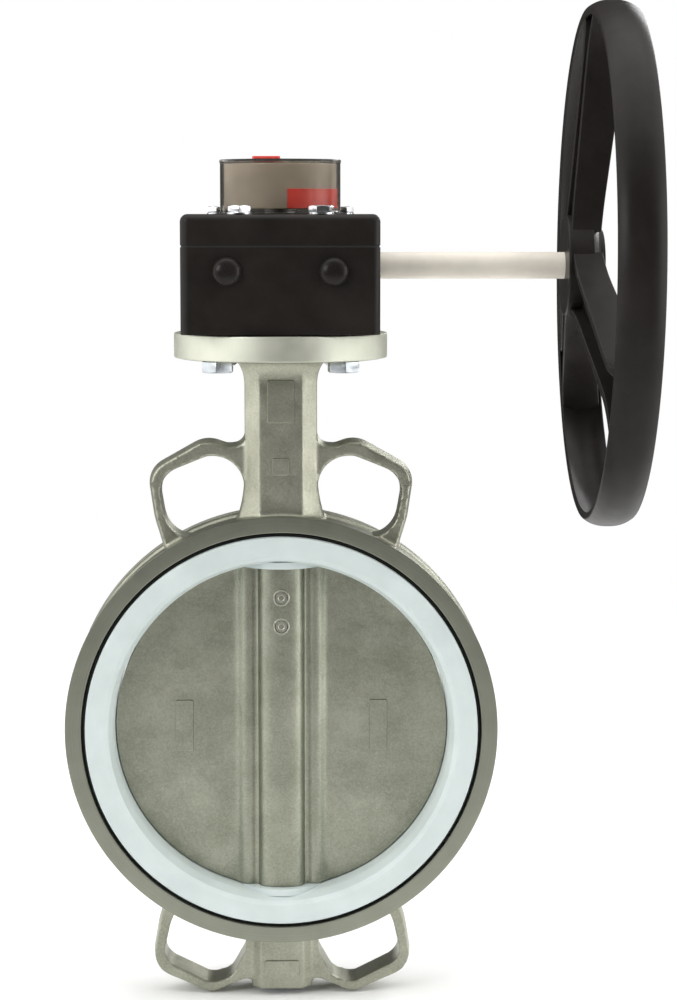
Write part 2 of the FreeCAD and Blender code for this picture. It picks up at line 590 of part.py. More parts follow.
# ---------------------------------------------------------------- gear train
def make_sleeve():
    low = "flange_top + gasket"
    tube("sleeve_bush_lower", "Z", "sleeve_radius + running_gap", "sleeve_bush", f"{low}",
         f"{low} + floor + 0.6")
    tube("sleeve_bush_upper", "Z", "sleeve_radius + running_gap", "sleeve_bush", "upper_bush_low",
         "cover_top - wall")
    tube("thrust_washer", "Z", "sleeve_radius + 0.4", "wheel_hub", f"{low} + floor + 0.6",
         "wheel_hub_low - 0.3")
    blank = turned("SleeveBlank", "Z", [
        ("0", "sleeve_low"), ("sleeve_radius", "sleeve_low"), ("sleeve_radius", "sleeve_top"),
        ("spindle_radius", "sleeve_top"), ("spindle_radius", "spindle_top"), ("0", "spindle_top")],
        keep=False)
    square = block("stem_square", "stem_square", "60", ("-stem_square / 2", "-stem_square / 2",
                                                        "sleeve_low - 20"))
    round_foot = cylinder("stem_radius + 0.2", "square_start - sleeve_low + 20.2",
                          ("0", "0", "sleeve_low - 20"))
    slot = key_block("0")
    node(cut(blank, square, round_foot, slot), "drive_sleeve")
    node(key_block("0.05"), "wheel_key")
    seal = doc.addObject("Part::Torus", "SpindleRing")
    bind(seal, Radius1="spindle_radius + 1.5", Radius2="1.4")
    place(seal, ("0", "0", "cover_top - 2.4"))
    node(seal, "spindle_o_ring")


def key_block(shrink):
    """Drive key set half into the sleeve and half into the worm wheel, on the side away from the teeth."""
    return block(f"key_wide - 2 * {shrink}", f"key_high - 2 * {shrink}", f"key_long - 2 * {shrink}",
                 (f"-key_wide / 2 + {shrink}", f"-sleeve_radius - key_high / 2 + {shrink}",
                  f"worm_z - key_long / 2 - 4 + {shrink}"))


def make_worm_wheel():
    """Toothed sector: it turns a quarter of a turn, so only part of its rim has teeth."""
    tip = "tooth_count * module / 2 + module"
    face = tube("SectorBlank", "Z", "sleeve_radius", tip, "worm_z - wheel_half", "worm_z + wheel_half",
                keep=False)
    hub = tube("WheelHub", "Z", "sleeve_radius", "wheel_hub", "wheel_hub_low", "worm_z + wheel_half",
               keep=False)
    reach = "60"
    angles = [f"sector_end + {step} * (360 - sector_end + sector_start) / 4" for step in range(5)]
    points = [(f"{reach} * cos({angle})", f"{reach} * sin({angle})") for angle in angles]
    empty = prism("SectorCut", "XY_Plane", [("0", "0")] + points, "80", offset="worm_z - 40")
    sector = fuse(cut(face, empty), hub)
    pitch = 360 / value("tooth_count")
    spaces = []
    step = 0
    while value("sector_start") + step * pitch <= value("sector_end") + 1:
        spaces.append(tooth_space(value("sector_start") + step * pitch))
        step += 1
    node(cut(sector, *spaces, key_block("0")), "worm_wheel")


def tooth_space(angle):
    """Trapezoid groove through the rim, leaned over by the worm's lead angle."""
    half = value("space_pitch_width") / 2
    slope = math.tan(math.radians(20))
    radius = value("tooth_count * module / 2")
    root, crest = radius - value("dedendum"), radius + value("module") + 1
    narrow, wide = half - (radius - root) * slope, half + (crest - radius) * slope
    reach = 20
    corners = [V(root, -narrow, -reach), V(root, narrow, -reach), V(crest, wide, -reach),
               V(crest, -wide, -reach)]
    solid = Part.Face(Part.makePolygon(corners + corners[:1])).extrude(V(0, 0, 2 * reach))
    lead = math.degrees(math.atan(value("module / (2 * worm_radius)")))
    solid.rotate(V(), V(1, 0, 0), -lead)
    solid.rotate(V(), V(0, 0, 1), angle)
    groove = doc.addObject("Part::Feature", "ToothSpace")
    groove.Shape = solid
    return place(groove, ("0", "0", "worm_z"))


def make_worm():
    """Single-start right-hand worm about +X, with one thread crest facing the wheel at rest."""
    pitch = math.pi * value("module")
    radius, half = value("worm_radius"), value("worm_half")
    root = radius - value("thread_root")
    slope = math.tan(math.radians(20))
    width = value("thread_pitch_width") / 2
    inner, crest = root - 0.6, radius + value("module")
    corners = [V(inner, 0, -width - (radius - inner) * slope),
               V(crest, 0, -width + (crest - radius) * slope),
               V(crest, 0, width - (crest - radius) * slope), V(inner, 0, width + (radius - inner) * slope)]
    turns = 2 * (half - 4) / pitch
    helix = Part.makeHelix(pitch, turns * pitch, radius)
    helix.translate(V(0, 0, -turns * pitch / 2))
    section = Part.makePolygon(corners + corners[:1])
    section.translate(V(0, 0, -turns * pitch / 2))
    thread = Part.Wire(helix.Edges).makePipeShell([section], True, True)
    core = Part.makeCylinder(root, 2 * half, V(0, 0, -half))
    worm = core.fuse(thread).cut(Part.makeCylinder(value("shaft_radius"), 3 * half, V(0, 0, -1.5 * half)))
    worm.rotate(V(), V(0, 0, 1), -180 * turns)
    worm.rotate(V(), V(0, 1, 0), 90)
    worm.rotate(V(), V(1, 0, 0), -90)
    worm = worm.cut(Part.makeCylinder(value("worm_pin_radius"), 60, V(half - 2.5, 0, -30)))
    screw = doc.addObject("Part::Feature", "Worm")
    screw.Shape = worm.removeSplitter()
    node(place(screw, ("0", "worm_y", "worm_z")), "worm")


def make_input_shaft():
    at = ("0", "worm_y", "worm_z")
    rod = turned("ShaftRod", "X", [
        ("0", "shaft_left"), ("journal_radius", "shaft_left"),
        ("journal_radius", "-housing_half + wall + bush_boss_in + 0.5"),
        ("shaft_radius", "-housing_half + wall + bush_boss_in + 0.5"),
        ("shaft_radius", "shaft_right"), ("0", "shaft_right")], at, keep=False)
    pin_hole = cylinder("worm_pin_radius", "60", ("worm_half - 2.5", "worm_y", "worm_z - 30"))
    end_hole = cylinder("end_screw_radius", "end_screw_reach + 1",
                        ("shaft_right - end_screw_reach", "worm_y", "worm_z"), "X")
    slot = hub_key("0")
    node(cut(rod, pin_hole, end_hole, slot), "input_shaft")
    node(cylinder("worm_pin_radius", "18.4", ("worm_half - 2.5", "worm_y", "worm_z - 9.2")), "worm_pin")
    node(hub_key("0.05"), "handwheel_key")
    inner = "housing_half - wall - bush_boss_in"
    tube("worm_bush_left", "X", "journal_radius + running_gap", "worm_bush_radius", "-housing_half + 3.5",
         f"-({inner})", at)
    tube("worm_bush_right", "X", "shaft_radius + running_gap", "worm_bush_radius", inner,
         "housing_half - seal_thick", at)
    tube("input_shaft_seal", "X", "shaft_radius + running_gap", "worm_bush_radius",
         "housing_half - seal_thick", "housing_half", at)
    turned("worm_end_cap", "X", [
        ("0", "-housing_half - end_cap_proud"), ("end_cap_radius", "-housing_half - end_cap_proud"),
        ("worm_bush_radius", "-housing_half"), ("worm_bush_radius", "-housing_half + 3.2"),
        ("0", "-housing_half + 3.2")], at)


def hub_key(shrink):
    """Key between the input shaft and the handwheel's hub, half sunk in each."""
    return block(f"hub_key_long - 2 * {shrink}", f"key_wide - 2 * {shrink}", f"key_high - 2 * {shrink}",
                 (f"hub_left + 3 + {shrink}", f"worm_y - key_wide / 2 + {shrink}",
                  f"worm_z + shaft_radius - key_high / 2 + {shrink}"))


# ---------------------------------------------------------------- position indicator
def make_indicator():
    tube("indicator_cap_seal", "Z", "cap_radius - cap_seat", "cap_radius", "cover_top", "cap_foot")
    turned("indicator_cap", "Z", [
        ("cap_radius - cap_wall", "cap_foot"), ("cap_radius", "cap_foot"),
        ("cap_radius", "cap_top - cap_rim"), ("cap_radius - 0.3 * cap_rim", "cap_top - 0.3 * cap_rim"),
        ("cap_radius - cap_rim", "cap_top"), ("0", "cap_top"), ("0", "cap_top - cap_wall"),
        ("cap_radius - cap_wall", "cap_top - cap_wall")])
    node(block("-mark_left", "2 * mark_deep", "mark_high", ("mark_left", "-mark_deep", "cap_top")),
         "indicator_mark")
    drum = turned("Drum", "Z", [
        ("spindle_radius + 5", "drum_low"), ("drum_radius", "drum_low"), ("drum_radius", "drum_top"),
        ("0", "drum_top"), ("0", "drum_top - drum_wall"),
        ("drum_radius - drum_wall", "drum_top - drum_wall"),
        ("drum_radius - drum_wall", "drum_low + drum_wall"),
        ("spindle_radius + 5", "drum_low + drum_wall")], keep=False)
    collar = tube("DrumCollar", "Z", "spindle_radius - 4", "spindle_radius + 5.5", "spindle_top",
                  "drum_top - 1", keep=False)
    foot = tube("DrumFoot", "Z", "spindle_radius", "spindle_radius + 5.5", "drum_low",
                "spindle_top + 0.5", keep=False)
    node(fuse(drum, collar, foot), "indicator_drum")
    shell = tube("FlagShell", "Z", "drum_radius", "drum_radius + flag_thick", "drum_low", "flag_high",
                 keep=False)
    wedge = prism("FlagWedge", "XY_Plane", [("0", "0"), ("6", "-50"), ("60", "-50"), ("60", "0")], "60",
                  offset="drum_low - 10")
    node(common(shell, wedge), "indicator_flag")


# ---------------------------------------------------------------- handwheel
def make_handwheel():
    at = ("0", "worm_y", "worm_z")
    inner = "wheel_radius - rim_edge_drop - rim_wall"
    rim = turned("Rim", "X", [
        ("wheel_radius - rim_edge_drop", "rim_left"), ("wheel_radius - 1.3", "rim_left + 5"),
        ("wheel_radius", "rim_left + 10"), ("wheel_radius", "rim_right - 10"),
        ("wheel_radius - 1.3", "rim_right - 5"), ("wheel_radius - rim_edge_drop", "rim_right"),
        (inner, "rim_right - 1"), (f"{inner} + 3.2", "rim_right - 7"), (f"{inner} + 3.2", "rim_left + 7"),
        (inner, "rim_left + 1")], keep=False)
    hub = turned("Hub", "X", [
        ("0", "hub_left"), ("hub_radius", "hub_left"), ("hub_radius", "hub_shoulder + 6"),
        ("hub_nose", "hub_shoulder + 11"), ("hub_nose", "hub_right"), ("0", "hub_right")], keep=False)
    solids = [rim, hub]
    for spoke in range(3):
        solids += make_spoke(90 + 120 * spoke)
    wheel = fuse(*solids)
    bore = cylinder("shaft_radius", "60", ("hub_left - 20", "0", "0"), "X")
    screw_seat = cylinder("seat_radius", "20", ("hub_seat", "0", "0"), "X")
    wheel = place(cut(wheel, bore, screw_seat), at)
    node(cut(wheel, hub_key("0")), "handwheel")
    turned("handwheel_washer", "X", [
        ("end_screw_radius", "hub_seat"), ("washer_radius", "hub_seat"),
        ("washer_radius", "hub_seat + washer_thick"),
        ("end_screw_radius", "hub_seat + washer_thick")], at)
    shank = cylinder("end_screw_radius", "end_screw_reach",
                     ("hub_seat + washer_thick - end_screw_reach + 1", "worm_y", "worm_z"), "X")
    head = hexagon("end_screw_flats", "end_screw_head", ("hub_seat + washer_thick", "worm_y", "worm_z"),
                   "X")
    node(fuse(shank, head), "handwheel_screw")


def make_spoke(angle):
    """Spoke of I section: two flanges set across the wheel and a thin web between them."""
    slant = [("spoke_hub_left", "spoke_start"), ("spoke_rim_left", "spoke_end"),
             ("spoke_rim_right", "spoke_end"), ("spoke_hub_right", "spoke_start")]
    middle = [("(spoke_hub_left + spoke_hub_right - web) / 2", "spoke_start"),
              ("(spoke_rim_left + spoke_rim_right - web) / 2", "spoke_end"),
              ("(spoke_rim_left + spoke_rim_right + web) / 2", "spoke_end"),
              ("(spoke_hub_left + spoke_hub_right + web) / 2", "spoke_start")]
    pieces = [prism("SpokeFlange", "XZ_Plane", slant, "spoke_wall", offset="spoke_half - spoke_wall"),
              prism("SpokeFlange", "XZ_Plane", slant, "spoke_wall", offset="-spoke_half"),
              prism("SpokeWeb", "XZ_Plane", middle, "2 * spoke_half - 2", middle=True)]
    for piece in pieces:
        piece.Placement = FreeCAD.Placement(V(), FreeCAD.Rotation(V(1, 0, 0), angle - 90))
    return pieces


make_valve_body()
make_seat()
make_disc()
make_stems()
make_stem_bearings()
make_housing()
make_cover()
make_casing_screws()
make_sleeve()
make_worm_wheel()
make_worm()
make_input_shaft()
make_indicator()
make_handwheel()
doc.recompute()

broken = [thing.Label for thing in doc.Objects if {"Invalid", "Error"} & set(thing.State)]
if broken:
    raise RuntimeError(f"features that failed: {broken}")
os.makedirs("parts", exist_ok=True)
for thing in nodes:
    if thing.Shape.isNull() or not thing.Shape.isValid():
        raise RuntimeError(f"bad shape: {thing.Label}")
    thing.Shape.exportStep(f"parts/{thing.Label}.step")
    print(f"{thing.Label:22s} solids {len(thing.Shape.Solids)}  volume {thing.Shape.Volume:12.1f}")
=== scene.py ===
"""Looks of the wafer butterfly valve: cast body, lined seat, disc, gearbox, indicator and handwheel."""

import json
import logging
import math
from contextlib import contextmanager
from dataclasses import dataclass
from enum import Enum
from typing import Callable, Iterator, Sequence

import bpy
from mathutils import Euler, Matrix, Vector


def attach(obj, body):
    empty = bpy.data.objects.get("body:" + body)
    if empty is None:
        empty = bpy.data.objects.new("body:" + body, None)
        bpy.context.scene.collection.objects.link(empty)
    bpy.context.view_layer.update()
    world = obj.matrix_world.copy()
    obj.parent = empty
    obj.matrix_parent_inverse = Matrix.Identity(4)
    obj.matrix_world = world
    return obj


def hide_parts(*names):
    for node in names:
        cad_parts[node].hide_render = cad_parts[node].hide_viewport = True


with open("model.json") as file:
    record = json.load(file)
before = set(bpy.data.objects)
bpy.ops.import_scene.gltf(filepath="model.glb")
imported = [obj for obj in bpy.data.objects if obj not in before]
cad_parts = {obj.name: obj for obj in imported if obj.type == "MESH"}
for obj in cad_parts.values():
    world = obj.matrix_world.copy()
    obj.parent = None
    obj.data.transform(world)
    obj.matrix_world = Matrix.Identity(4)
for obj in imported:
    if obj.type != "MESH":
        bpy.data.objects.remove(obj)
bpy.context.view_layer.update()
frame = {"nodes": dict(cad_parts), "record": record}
NODES: dict[str, bpy.types.Object] = frame["nodes"]
MM = 0.001
LOG = logging.getLogger("valve")
Point = tuple[float, float]
Place = tuple[float, float, float]


class Axis(Enum):
    """Direction that a turned piece spins about."""

    X = (1.0, 0.0, 0.0)
    Y = (0.0, 1.0, 0.0)
    Z = (0.0, 0.0, 1.0)


class Body(Enum):
    """Moving groups of the valve."""

    VALVE = "valve"
    STEM = "stem"
    INPUT = "input"


# ------------------------------------------------------------------ modelling tools
def deselect() -> None:
    """Leave object mode and clear the selection."""
    if bpy.context.object and bpy.context.object.mode != "OBJECT":
        bpy.ops.object.mode_set(mode="OBJECT")
    bpy.ops.object.select_all(action="DESELECT")


def only(piece: bpy.types.Object) -> None:
    """Make one object the whole selection."""
    deselect()
    piece.select_set(True)
    bpy.context.view_layer.objects.active = piece


@contextmanager
def editing(piece: bpy.types.Object, all_selected: bool = True) -> Iterator[None]:
    """Edit mode on one piece.

    Args:
        piece: The mesh object to edit.
        all_selected: Whether its whole mesh starts selected.
    """
    only(piece)
    bpy.ops.object.mode_set(mode="EDIT")
    bpy.ops.mesh.select_mode(type="VERT")
    bpy.ops.mesh.select_all(action="SELECT" if all_selected else "DESELECT")
    yield
    bpy.ops.object.mode_set(mode="OBJECT")


def pick(piece: bpy.types.Object, wanted: Callable[[Vector], bool], kind: str = "verts") -> None:
    """Select vertices, edges or faces by where they are, while in edit mode.

    Args:
        piece: The mesh being edited.
        wanted: Test on a vertex, an edge's middle or a face's middle, in metres.
        kind: verts, edges or faces.
    """
    bpy.ops.mesh.select_mode(type={"verts": "VERT", "edges": "EDGE", "faces": "FACE"}[kind])
    bpy.ops.mesh.select_all(action="DESELECT")
    bpy.ops.object.mode_set(mode="OBJECT")
    mesh = piece.data
    for item in {"verts": mesh.vertices, "edges": mesh.edges, "faces": mesh.polygons}[kind]:
        if kind == "verts":
            spot = item.co
        else:
            spot = sum((mesh.vertices[i].co for i in item.vertices), Vector()) / len(item.vertices)
        if wanted(spot):
            item.select = True
    bpy.ops.object.mode_set(mode="EDIT")


def modify(piece: bpy.types.Object, kind: str, **settings: object) -> bpy.types.Object:
    """Add a modifier with the given settings and apply it."""
    only(piece)
    modifier = piece.modifiers.new(kind.title(), kind)
    for name, setting in settings.items():
        setattr(modifier, name, setting)
    bpy.ops.object.modifier_apply(modifier=modifier.name)
    return piece


def soften(piece: bpy.types.Object, width: float, angle: float = 35.0, steps: int = 2) -> bpy.types.Object:
    """Round the sharp edges by a width in millimetres, then shade the surface."""
    modify(piece, "BEVEL", width=width * MM, segments=steps, limit_method="ANGLE",
           angle_limit=math.radians(angle), harden_normals=False)
    return modify(shade(piece), "WEIGHTED_NORMAL", keep_sharp=True)


def shade(piece: bpy.types.Object, angle: float = 35.0) -> bpy.types.Object:
    """Smooth shading that keeps the sharp edges."""
    only(piece)
    bpy.ops.object.shade_smooth_by_angle(angle=math.radians(angle))
    return piece


def settle(piece: bpy.types.Object) -> None:
    """Put the object's place into its mesh and leave the object at the origin."""
    only(piece)
    bpy.ops.object.transform_apply(location=True, rotation=True, scale=True)


def tidy(piece: bpy.types.Object) -> bpy.types.Object:
    """Merge doubled points and turn every face outwards."""
    with editing(piece):
        bpy.ops.mesh.remove_doubles(threshold=0.00001)
        bpy.ops.mesh.normals_make_consistent(inside=False)
    return piece


def join(pieces: Sequence[bpy.types.Object], name: str) -> bpy.types.Object:
    """Gather several meshes into one object under a name."""
    only(pieces[0])
    for piece in pieces:
        piece.select_set(True)
    if len(pieces) > 1:
        bpy.ops.object.join()
    pieces[0].name = name
    pieces[0].data.name = name
    return pieces[0]


def carve(piece: bpy.types.Object, tool: bpy.types.Object, how: str = "DIFFERENCE") -> bpy.types.Object:
    """Boolean a tool into a piece and discard the tool."""
    modify(piece, "BOOLEAN", object=tool, operation=how, solver="EXACT")
    bpy.data.objects.remove(tool)
    return piece


def outline_face(name: str, points: Sequence[Point], plane: Axis, depth: float) -> bpy.types.Object:
    """Flat face from an outline, a circle primitive whose points are moved to their places.

    Args:
        name: Name of the new object.
        points: Outline in millimetres; X and Z on the Y plane, X and Y on the Z plane, Y and Z on the X plane.
        plane: Normal of the face.
        depth: Where the face lies along that normal, in millimetres.

    Returns:
        The object, holding one face.
    """
    deselect()
    bpy.ops.mesh.primitive_circle_add(vertices=len(points), radius=MM, fill_type="NGON")
    piece = bpy.context.object
    piece.name = name
    for vertex, (across, up) in zip(piece.data.vertices, points):
        spot = {Axis.X: (depth, across, up), Axis.Y: (across, depth, up), Axis.Z: (across, up, depth)}
        vertex.co = Vector(spot[plane]) * MM
    return piece


def prism(name: str, points: Sequence[Point], plane: Axis, low: float, high: float) -> bpy.types.Object:
    """Solid made by extruding an outline from one depth to another along the plane's normal."""
    piece = outline_face(name, points, plane, low)
    with editing(piece):
        step = Vector(plane.value) * (high - low) * MM
        bpy.ops.mesh.extrude_region_move(TRANSFORM_OT_translate={"value": step})
    return tidy(piece)


def lathe(name: str, profile: Sequence[Point], axis: Axis, at: Place = (0, 0, 0),
          steps: int = 128) -> bpy.types.Object:
    """Turned solid from a closed profile of (radius, along) points in millimetres.

    Args:
        name: Name of the new object.
        profile: Closed outline; points on the axis have radius 0.
        axis: Axis to spin about.
        at: A point on that axis, in millimetres.
        steps: Facets round the axis.

    Returns:
        The closed turned mesh.
    """
    turned = {Axis.X: [(a, r) for r, a in profile], Axis.Y: list(profile), Axis.Z: list(profile)}[axis]
    plane = {Axis.X: Axis.Y, Axis.Y: Axis.Z, Axis.Z: Axis.Y}[axis]
    piece = outline_face(name, turned, plane, 0.0)
    with editing(piece):
        bpy.ops.mesh.delete(type="ONLY_FACE")
        bpy.ops.mesh.select_all(action="SELECT")
        bpy.ops.mesh.spin(steps=steps, angle=math.tau, center=(0, 0, 0), axis=axis.value)
    tidy(piece)
    for vertex in piece.data.vertices:
        vertex.co += Vector(at) * MM
    return piece


def arc(centre: Point, radius: float, start: float, stop: float, count: int) -> list[Point]:
    """Points on an arc, in degrees counted from the first axis."""
    turns = [math.radians(start + (stop - start) * i / count) for i in range(count + 1)]
    return [(centre[0] + radius * math.cos(t), centre[1] + radius * math.sin(t)) for t in turns]


def rounded(corners: Sequence[tuple[float, float, float]], steps: int = 10) -> list[Point]:
    """Outline through corners, each an (across, up, radius) with that corner's round."""
    points: list[Point] = []
    for index, (across, up, radius) in enumerate(corners):
        here = Vector((across, up))
        before = (Vector(corners[index - 1][:2]) - here).normalized()
        after = (Vector(corners[(index + 1) % len(corners)][:2]) - here).normalized()
        if radius <= 0:
            points.append((across, up))
            continue
        half = before.angle(after) / 2
        reach = radius / math.tan(half)
        centre = here + (before + after).normalized() * (radius / math.sin(half))
        first, last = here + before * reach - centre, here + after * reach - centre
        for step in range(steps + 1):
            share = step / steps
            spoke = (first * (1 - share) + last * share).normalized() * radius
            points.append(tuple(centre + spoke))
    return points


def rod(name: str, radius: float, start: Place, length: float, axis: Axis, edge: float = 0.4,
        steps: int = 48) -> bpy.types.Object:
    """Round bar with chamfered ends, from a start point along an axis, in millimetres."""
    profile = [(0, 0), (radius - edge, 0), (radius, edge), (radius, length - edge),
               (radius - edge, length), (0, length)]
    return lathe(name, profile, axis, start, steps)


def hex_head(name: str, flats: float, height: float, foot: Place, axis: Axis, up: float,
             turn: float = 0.0) -> bpy.types.Object:
    """Hexagonal bolt head with its corners chamfered on the outer end.

    Args:
        name: Name of the new object.
        flats: Width across flats, in millimetres.
        height: Height of the head.
        foot: Centre of its bearing face.
        axis: Axis of the bolt.
        up: 1 if the head rises along the axis, -1 if it hangs below.
        turn: Turn about the axis, in degrees.

    Returns:
        The finished head at its place.
    """
    corner = flats / math.sqrt(3)
    ring = [(corner * math.cos(math.radians(60 * i + turn)), corner * math.sin(math.radians(60 * i + turn)))
            for i in range(6)]
    low, high = sorted((0.0, up * height))
    head = prism(name, ring, axis, low, high)
    slope = 0.5 * (corner - flats * 0.47)
    dome = [(0, -up * 0.1), (corner * 1.02, -up * 0.1), (corner * 1.02, up * (height - slope)),
            (flats * 0.47, up * (height + 0.01)), (0, up * (height + 0.01))]
    carve(head, lathe("Dome", dome, axis, steps=48), "INTERSECT")
    modify(head, "BEVEL", width=0.25 * MM, segments=2, limit_method="ANGLE", angle_limit=0.5)
    for vertex in head.data.vertices:
        vertex.co += Vector(foot) * MM
    return shade(head, 28)


# ------------------------------------------------------------------ finishes
class Shader:
    """Small builder for one material's node graph."""

    def __init__(self, name: str) -> None:
        """Start an empty material whose output is a Principled shader."""
        self.material = bpy.data.materials.new(name)
        self.material.use_nodes = True
        self.tree = self.material.node_tree
        self.surface = self.tree.nodes["Principled BSDF"]
        self.place = self.add("ShaderNodeTexCoord").outputs["Object"]

    def add(self, kind: str, **settings: object) -> bpy.types.Node:
        """Add a node and set its own properties."""
        node = self.tree.nodes.new(kind)
        for name, setting in settings.items():
            setattr(node, name, setting)
        return node

    def link(self, source: bpy.types.NodeSocket, target: bpy.types.NodeSocket) -> None:
        """Join two sockets."""
        self.tree.links.new(source, target)

    def noise(self, size: float, detail: float = 4.0, rough: float = 0.55,
              stretch: Place = (1, 1, 1)) -> bpy.types.NodeSocket:
        """Noise whose features are about the given size in millimetres.

        Args:
            size: Feature size along each axis, in millimetres.
            detail: Octaves of finer noise.
            rough: Strength of each octave against the last.
            stretch: How many times larger the features are along X, Y and Z.

        Returns:
            The noise value socket, 0 to 1.
        """
        mapping = self.add("ShaderNodeMapping")
        mapping.inputs["Scale"].default_value = [1 / s for s in stretch]
        self.link(self.place, mapping.inputs["Vector"])
        texture = self.add("ShaderNodeTexNoise")
        texture.inputs["Scale"].default_value = 1 / (size * MM)
        texture.inputs["Detail"].default_value = detail
        texture.inputs["Roughness"].default_value = rough
        self.link(mapping.outputs["Vector"], texture.inputs["Vector"])
        return texture.outputs["Fac"]

    def radius(self, axis: Axis, at: Place = (0, 0, 0)) -> bpy.types.NodeSocket:
        """Distance from an axis through a point in millimetres, in metres."""
        shift = self.add("ShaderNodeVectorMath", operation="SUBTRACT")
        shift.inputs[1].default_value = [a * MM for a in at]
        self.link(self.place, shift.inputs[0])
        flat = self.add("ShaderNodeVectorMath", operation="MULTIPLY")
        flat.inputs[1].default_value = [1 - a for a in axis.value]
        self.link(shift.outputs[0], flat.inputs[0])
        length = self.add("ShaderNodeVectorMath", operation="LENGTH")
        self.link(flat.outputs[0], length.inputs[0])
        return length.outputs["Value"]

    def stripes(self, source: bpy.types.NodeSocket, pitch: float) -> bpy.types.NodeSocket:
        """Fine uneven lines across a distance, with the given pitch in millimetres."""
        texture = self.add("ShaderNodeTexNoise", noise_dimensions="1D")
        texture.inputs["Scale"].default_value = 1 / (pitch * MM)
        texture.inputs["Detail"].default_value = 3
        self.link(source, texture.inputs["W"])
        return texture.outputs["Fac"]

    def ramp(self, source: bpy.types.NodeSocket, stops: Sequence[tuple[float, Sequence[float]]]
             ) -> bpy.types.NodeSocket:
        """Colour ramp through (position, colour) stops."""
        node = self.add("ShaderNodeValToRGB")
        elements = node.color_ramp.elements
        while len(elements) < len(stops):
            elements.new(0.5)
        for element, (position, colour) in zip(elements, stops):
            element.position = position
            element.color = (*colour, 1)
        self.link(source, node.inputs["Fac"])
        return node.outputs["Color"]

    def blend(self, share: bpy.types.NodeSocket, first: bpy.types.NodeSocket,
              second: bpy.types.NodeSocket, how: str = "MIX") -> bpy.types.NodeSocket:
        """Mix two colours by a share."""
        node = self.add("ShaderNodeMix", data_type="RGBA", blend_type=how)
        self.link(share, node.inputs["Factor"])
        self.link(first, node.inputs["A"])
        self.link(second, node.inputs["B"])
        return node.outputs["Result"]

    def scaled(self, source: bpy.types.NodeSocket, low: float, high: float) -> bpy.types.NodeSocket:
        """Stretch a 0 to 1 value to another range."""
        node = self.add("ShaderNodeMapRange")
        node.inputs["To Min"].default_value = low
        node.inputs["To Max"].default_value = high
        self.link(source, node.inputs["Value"])
        return node.outputs["Result"]

    def bump(self, heights: Sequence[tuple[bpy.types.NodeSocket, float]]) -> None:
        """Chain bumps, each a height socket with its depth in millimetres."""
        normal = None
        for height, depth in heights:
            node = self.add("ShaderNodeBump")
            node.inputs["Strength"].default_value = 1.0
            node.inputs["Distance"].default_value = depth * MM
            self.link(height, node.inputs["Height"])
            if normal:
                self.link(normal, node.inputs["Normal"])
            normal = node.outputs["Normal"]
        self.link(normal, self.surface.inputs["Normal"])

    def set(self, **values: object) -> None:
        """Set constant values on the shader; underscores stand for spaces."""
        for name, setting in values.items():
            self.surface.inputs[name.replace("_", " ")].default_value = setting


@dataclass(frozen=True)
class CastMetal:
    """Blasted stainless casting: mottled, finely pitted, a little warm."""

    name: str
    dark: Place
    light: Place
    rough: float = 0.5
    metal: float = 0.8
    grain: float = 0.12

    def make(self) -> bpy.types.Material:
        """Build the material."""
        shader = Shader(self.name)
        clouds = shader.noise(28, 3, 0.6)
        speckle = shader.noise(1.3, 3, 0.7)
        middle = [(a + b) / 2 for a, b in zip(self.dark, self.light)]
        broad = shader.ramp(clouds, [(0.32, self.dark), (0.5, middle), (0.68, self.light)])
        fine = shader.ramp(speckle, [(0.30, [c * 0.72 for c in self.dark]), (0.52, middle),
                                     (0.75, [min(1, c * 1.25) for c in self.light])])
        share = shader.scaled(shader.noise(6, 2), 0.15, 0.55)
        shader.link(shader.blend(share, broad, fine), shader.surface.inputs["Base Color"])
        shader.link(shader.scaled(shader.noise(9, 4), self.rough - 0.10, self.rough + 0.14),
                    shader.surface.inputs["Roughness"])
        shader.bump([(shader.noise(14, 2), 0.25), (shader.noise(0.9, 4, 0.7), self.grain),
                     (shader.noise(3.2, 2), self.grain * 0.8)])
        shader.set(Metallic=self.metal)
        return shader.material


@dataclass(frozen=True)
class TurnedMetal:
    """Metal faced on a lathe: fine rings about one axis."""

    name: str
    colour: Place
    axis: Axis
    at: Place = (0, 0, 0)
    rough: float = 0.34
    pitch: float = 0.5
    depth: float = 0.012
    metal: float = 0.9

    def make(self) -> bpy.types.Material:
        """Build the material."""
        shader = Shader(self.name)
        rings = shader.stripes(shader.radius(self.axis, self.at), self.pitch)
        tint = shader.ramp(rings, [(0.3, [c * 0.86 for c in self.colour]),
                                   (0.7, [min(1, c * 1.1) for c in self.colour])])
        stain = shader.ramp(shader.noise(20, 3), [(0.35, [c * 0.82 for c in self.colour]),
                                                  (0.65, self.colour)])
        shader.link(shader.blend(shader.scaled(shader.noise(35, 1), 0.3, 0.6), tint, stain),
                    shader.surface.inputs["Base Color"])
        shader.link(shader.scaled(shader.noise(7, 4), self.rough - 0.07, self.rough + 0.10),
                    shader.surface.inputs["Roughness"])
        shader.bump([(rings, self.depth), (shader.noise(0.8, 3), 0.02)])
        shader.set(Metallic=self.metal)
        return shader.material


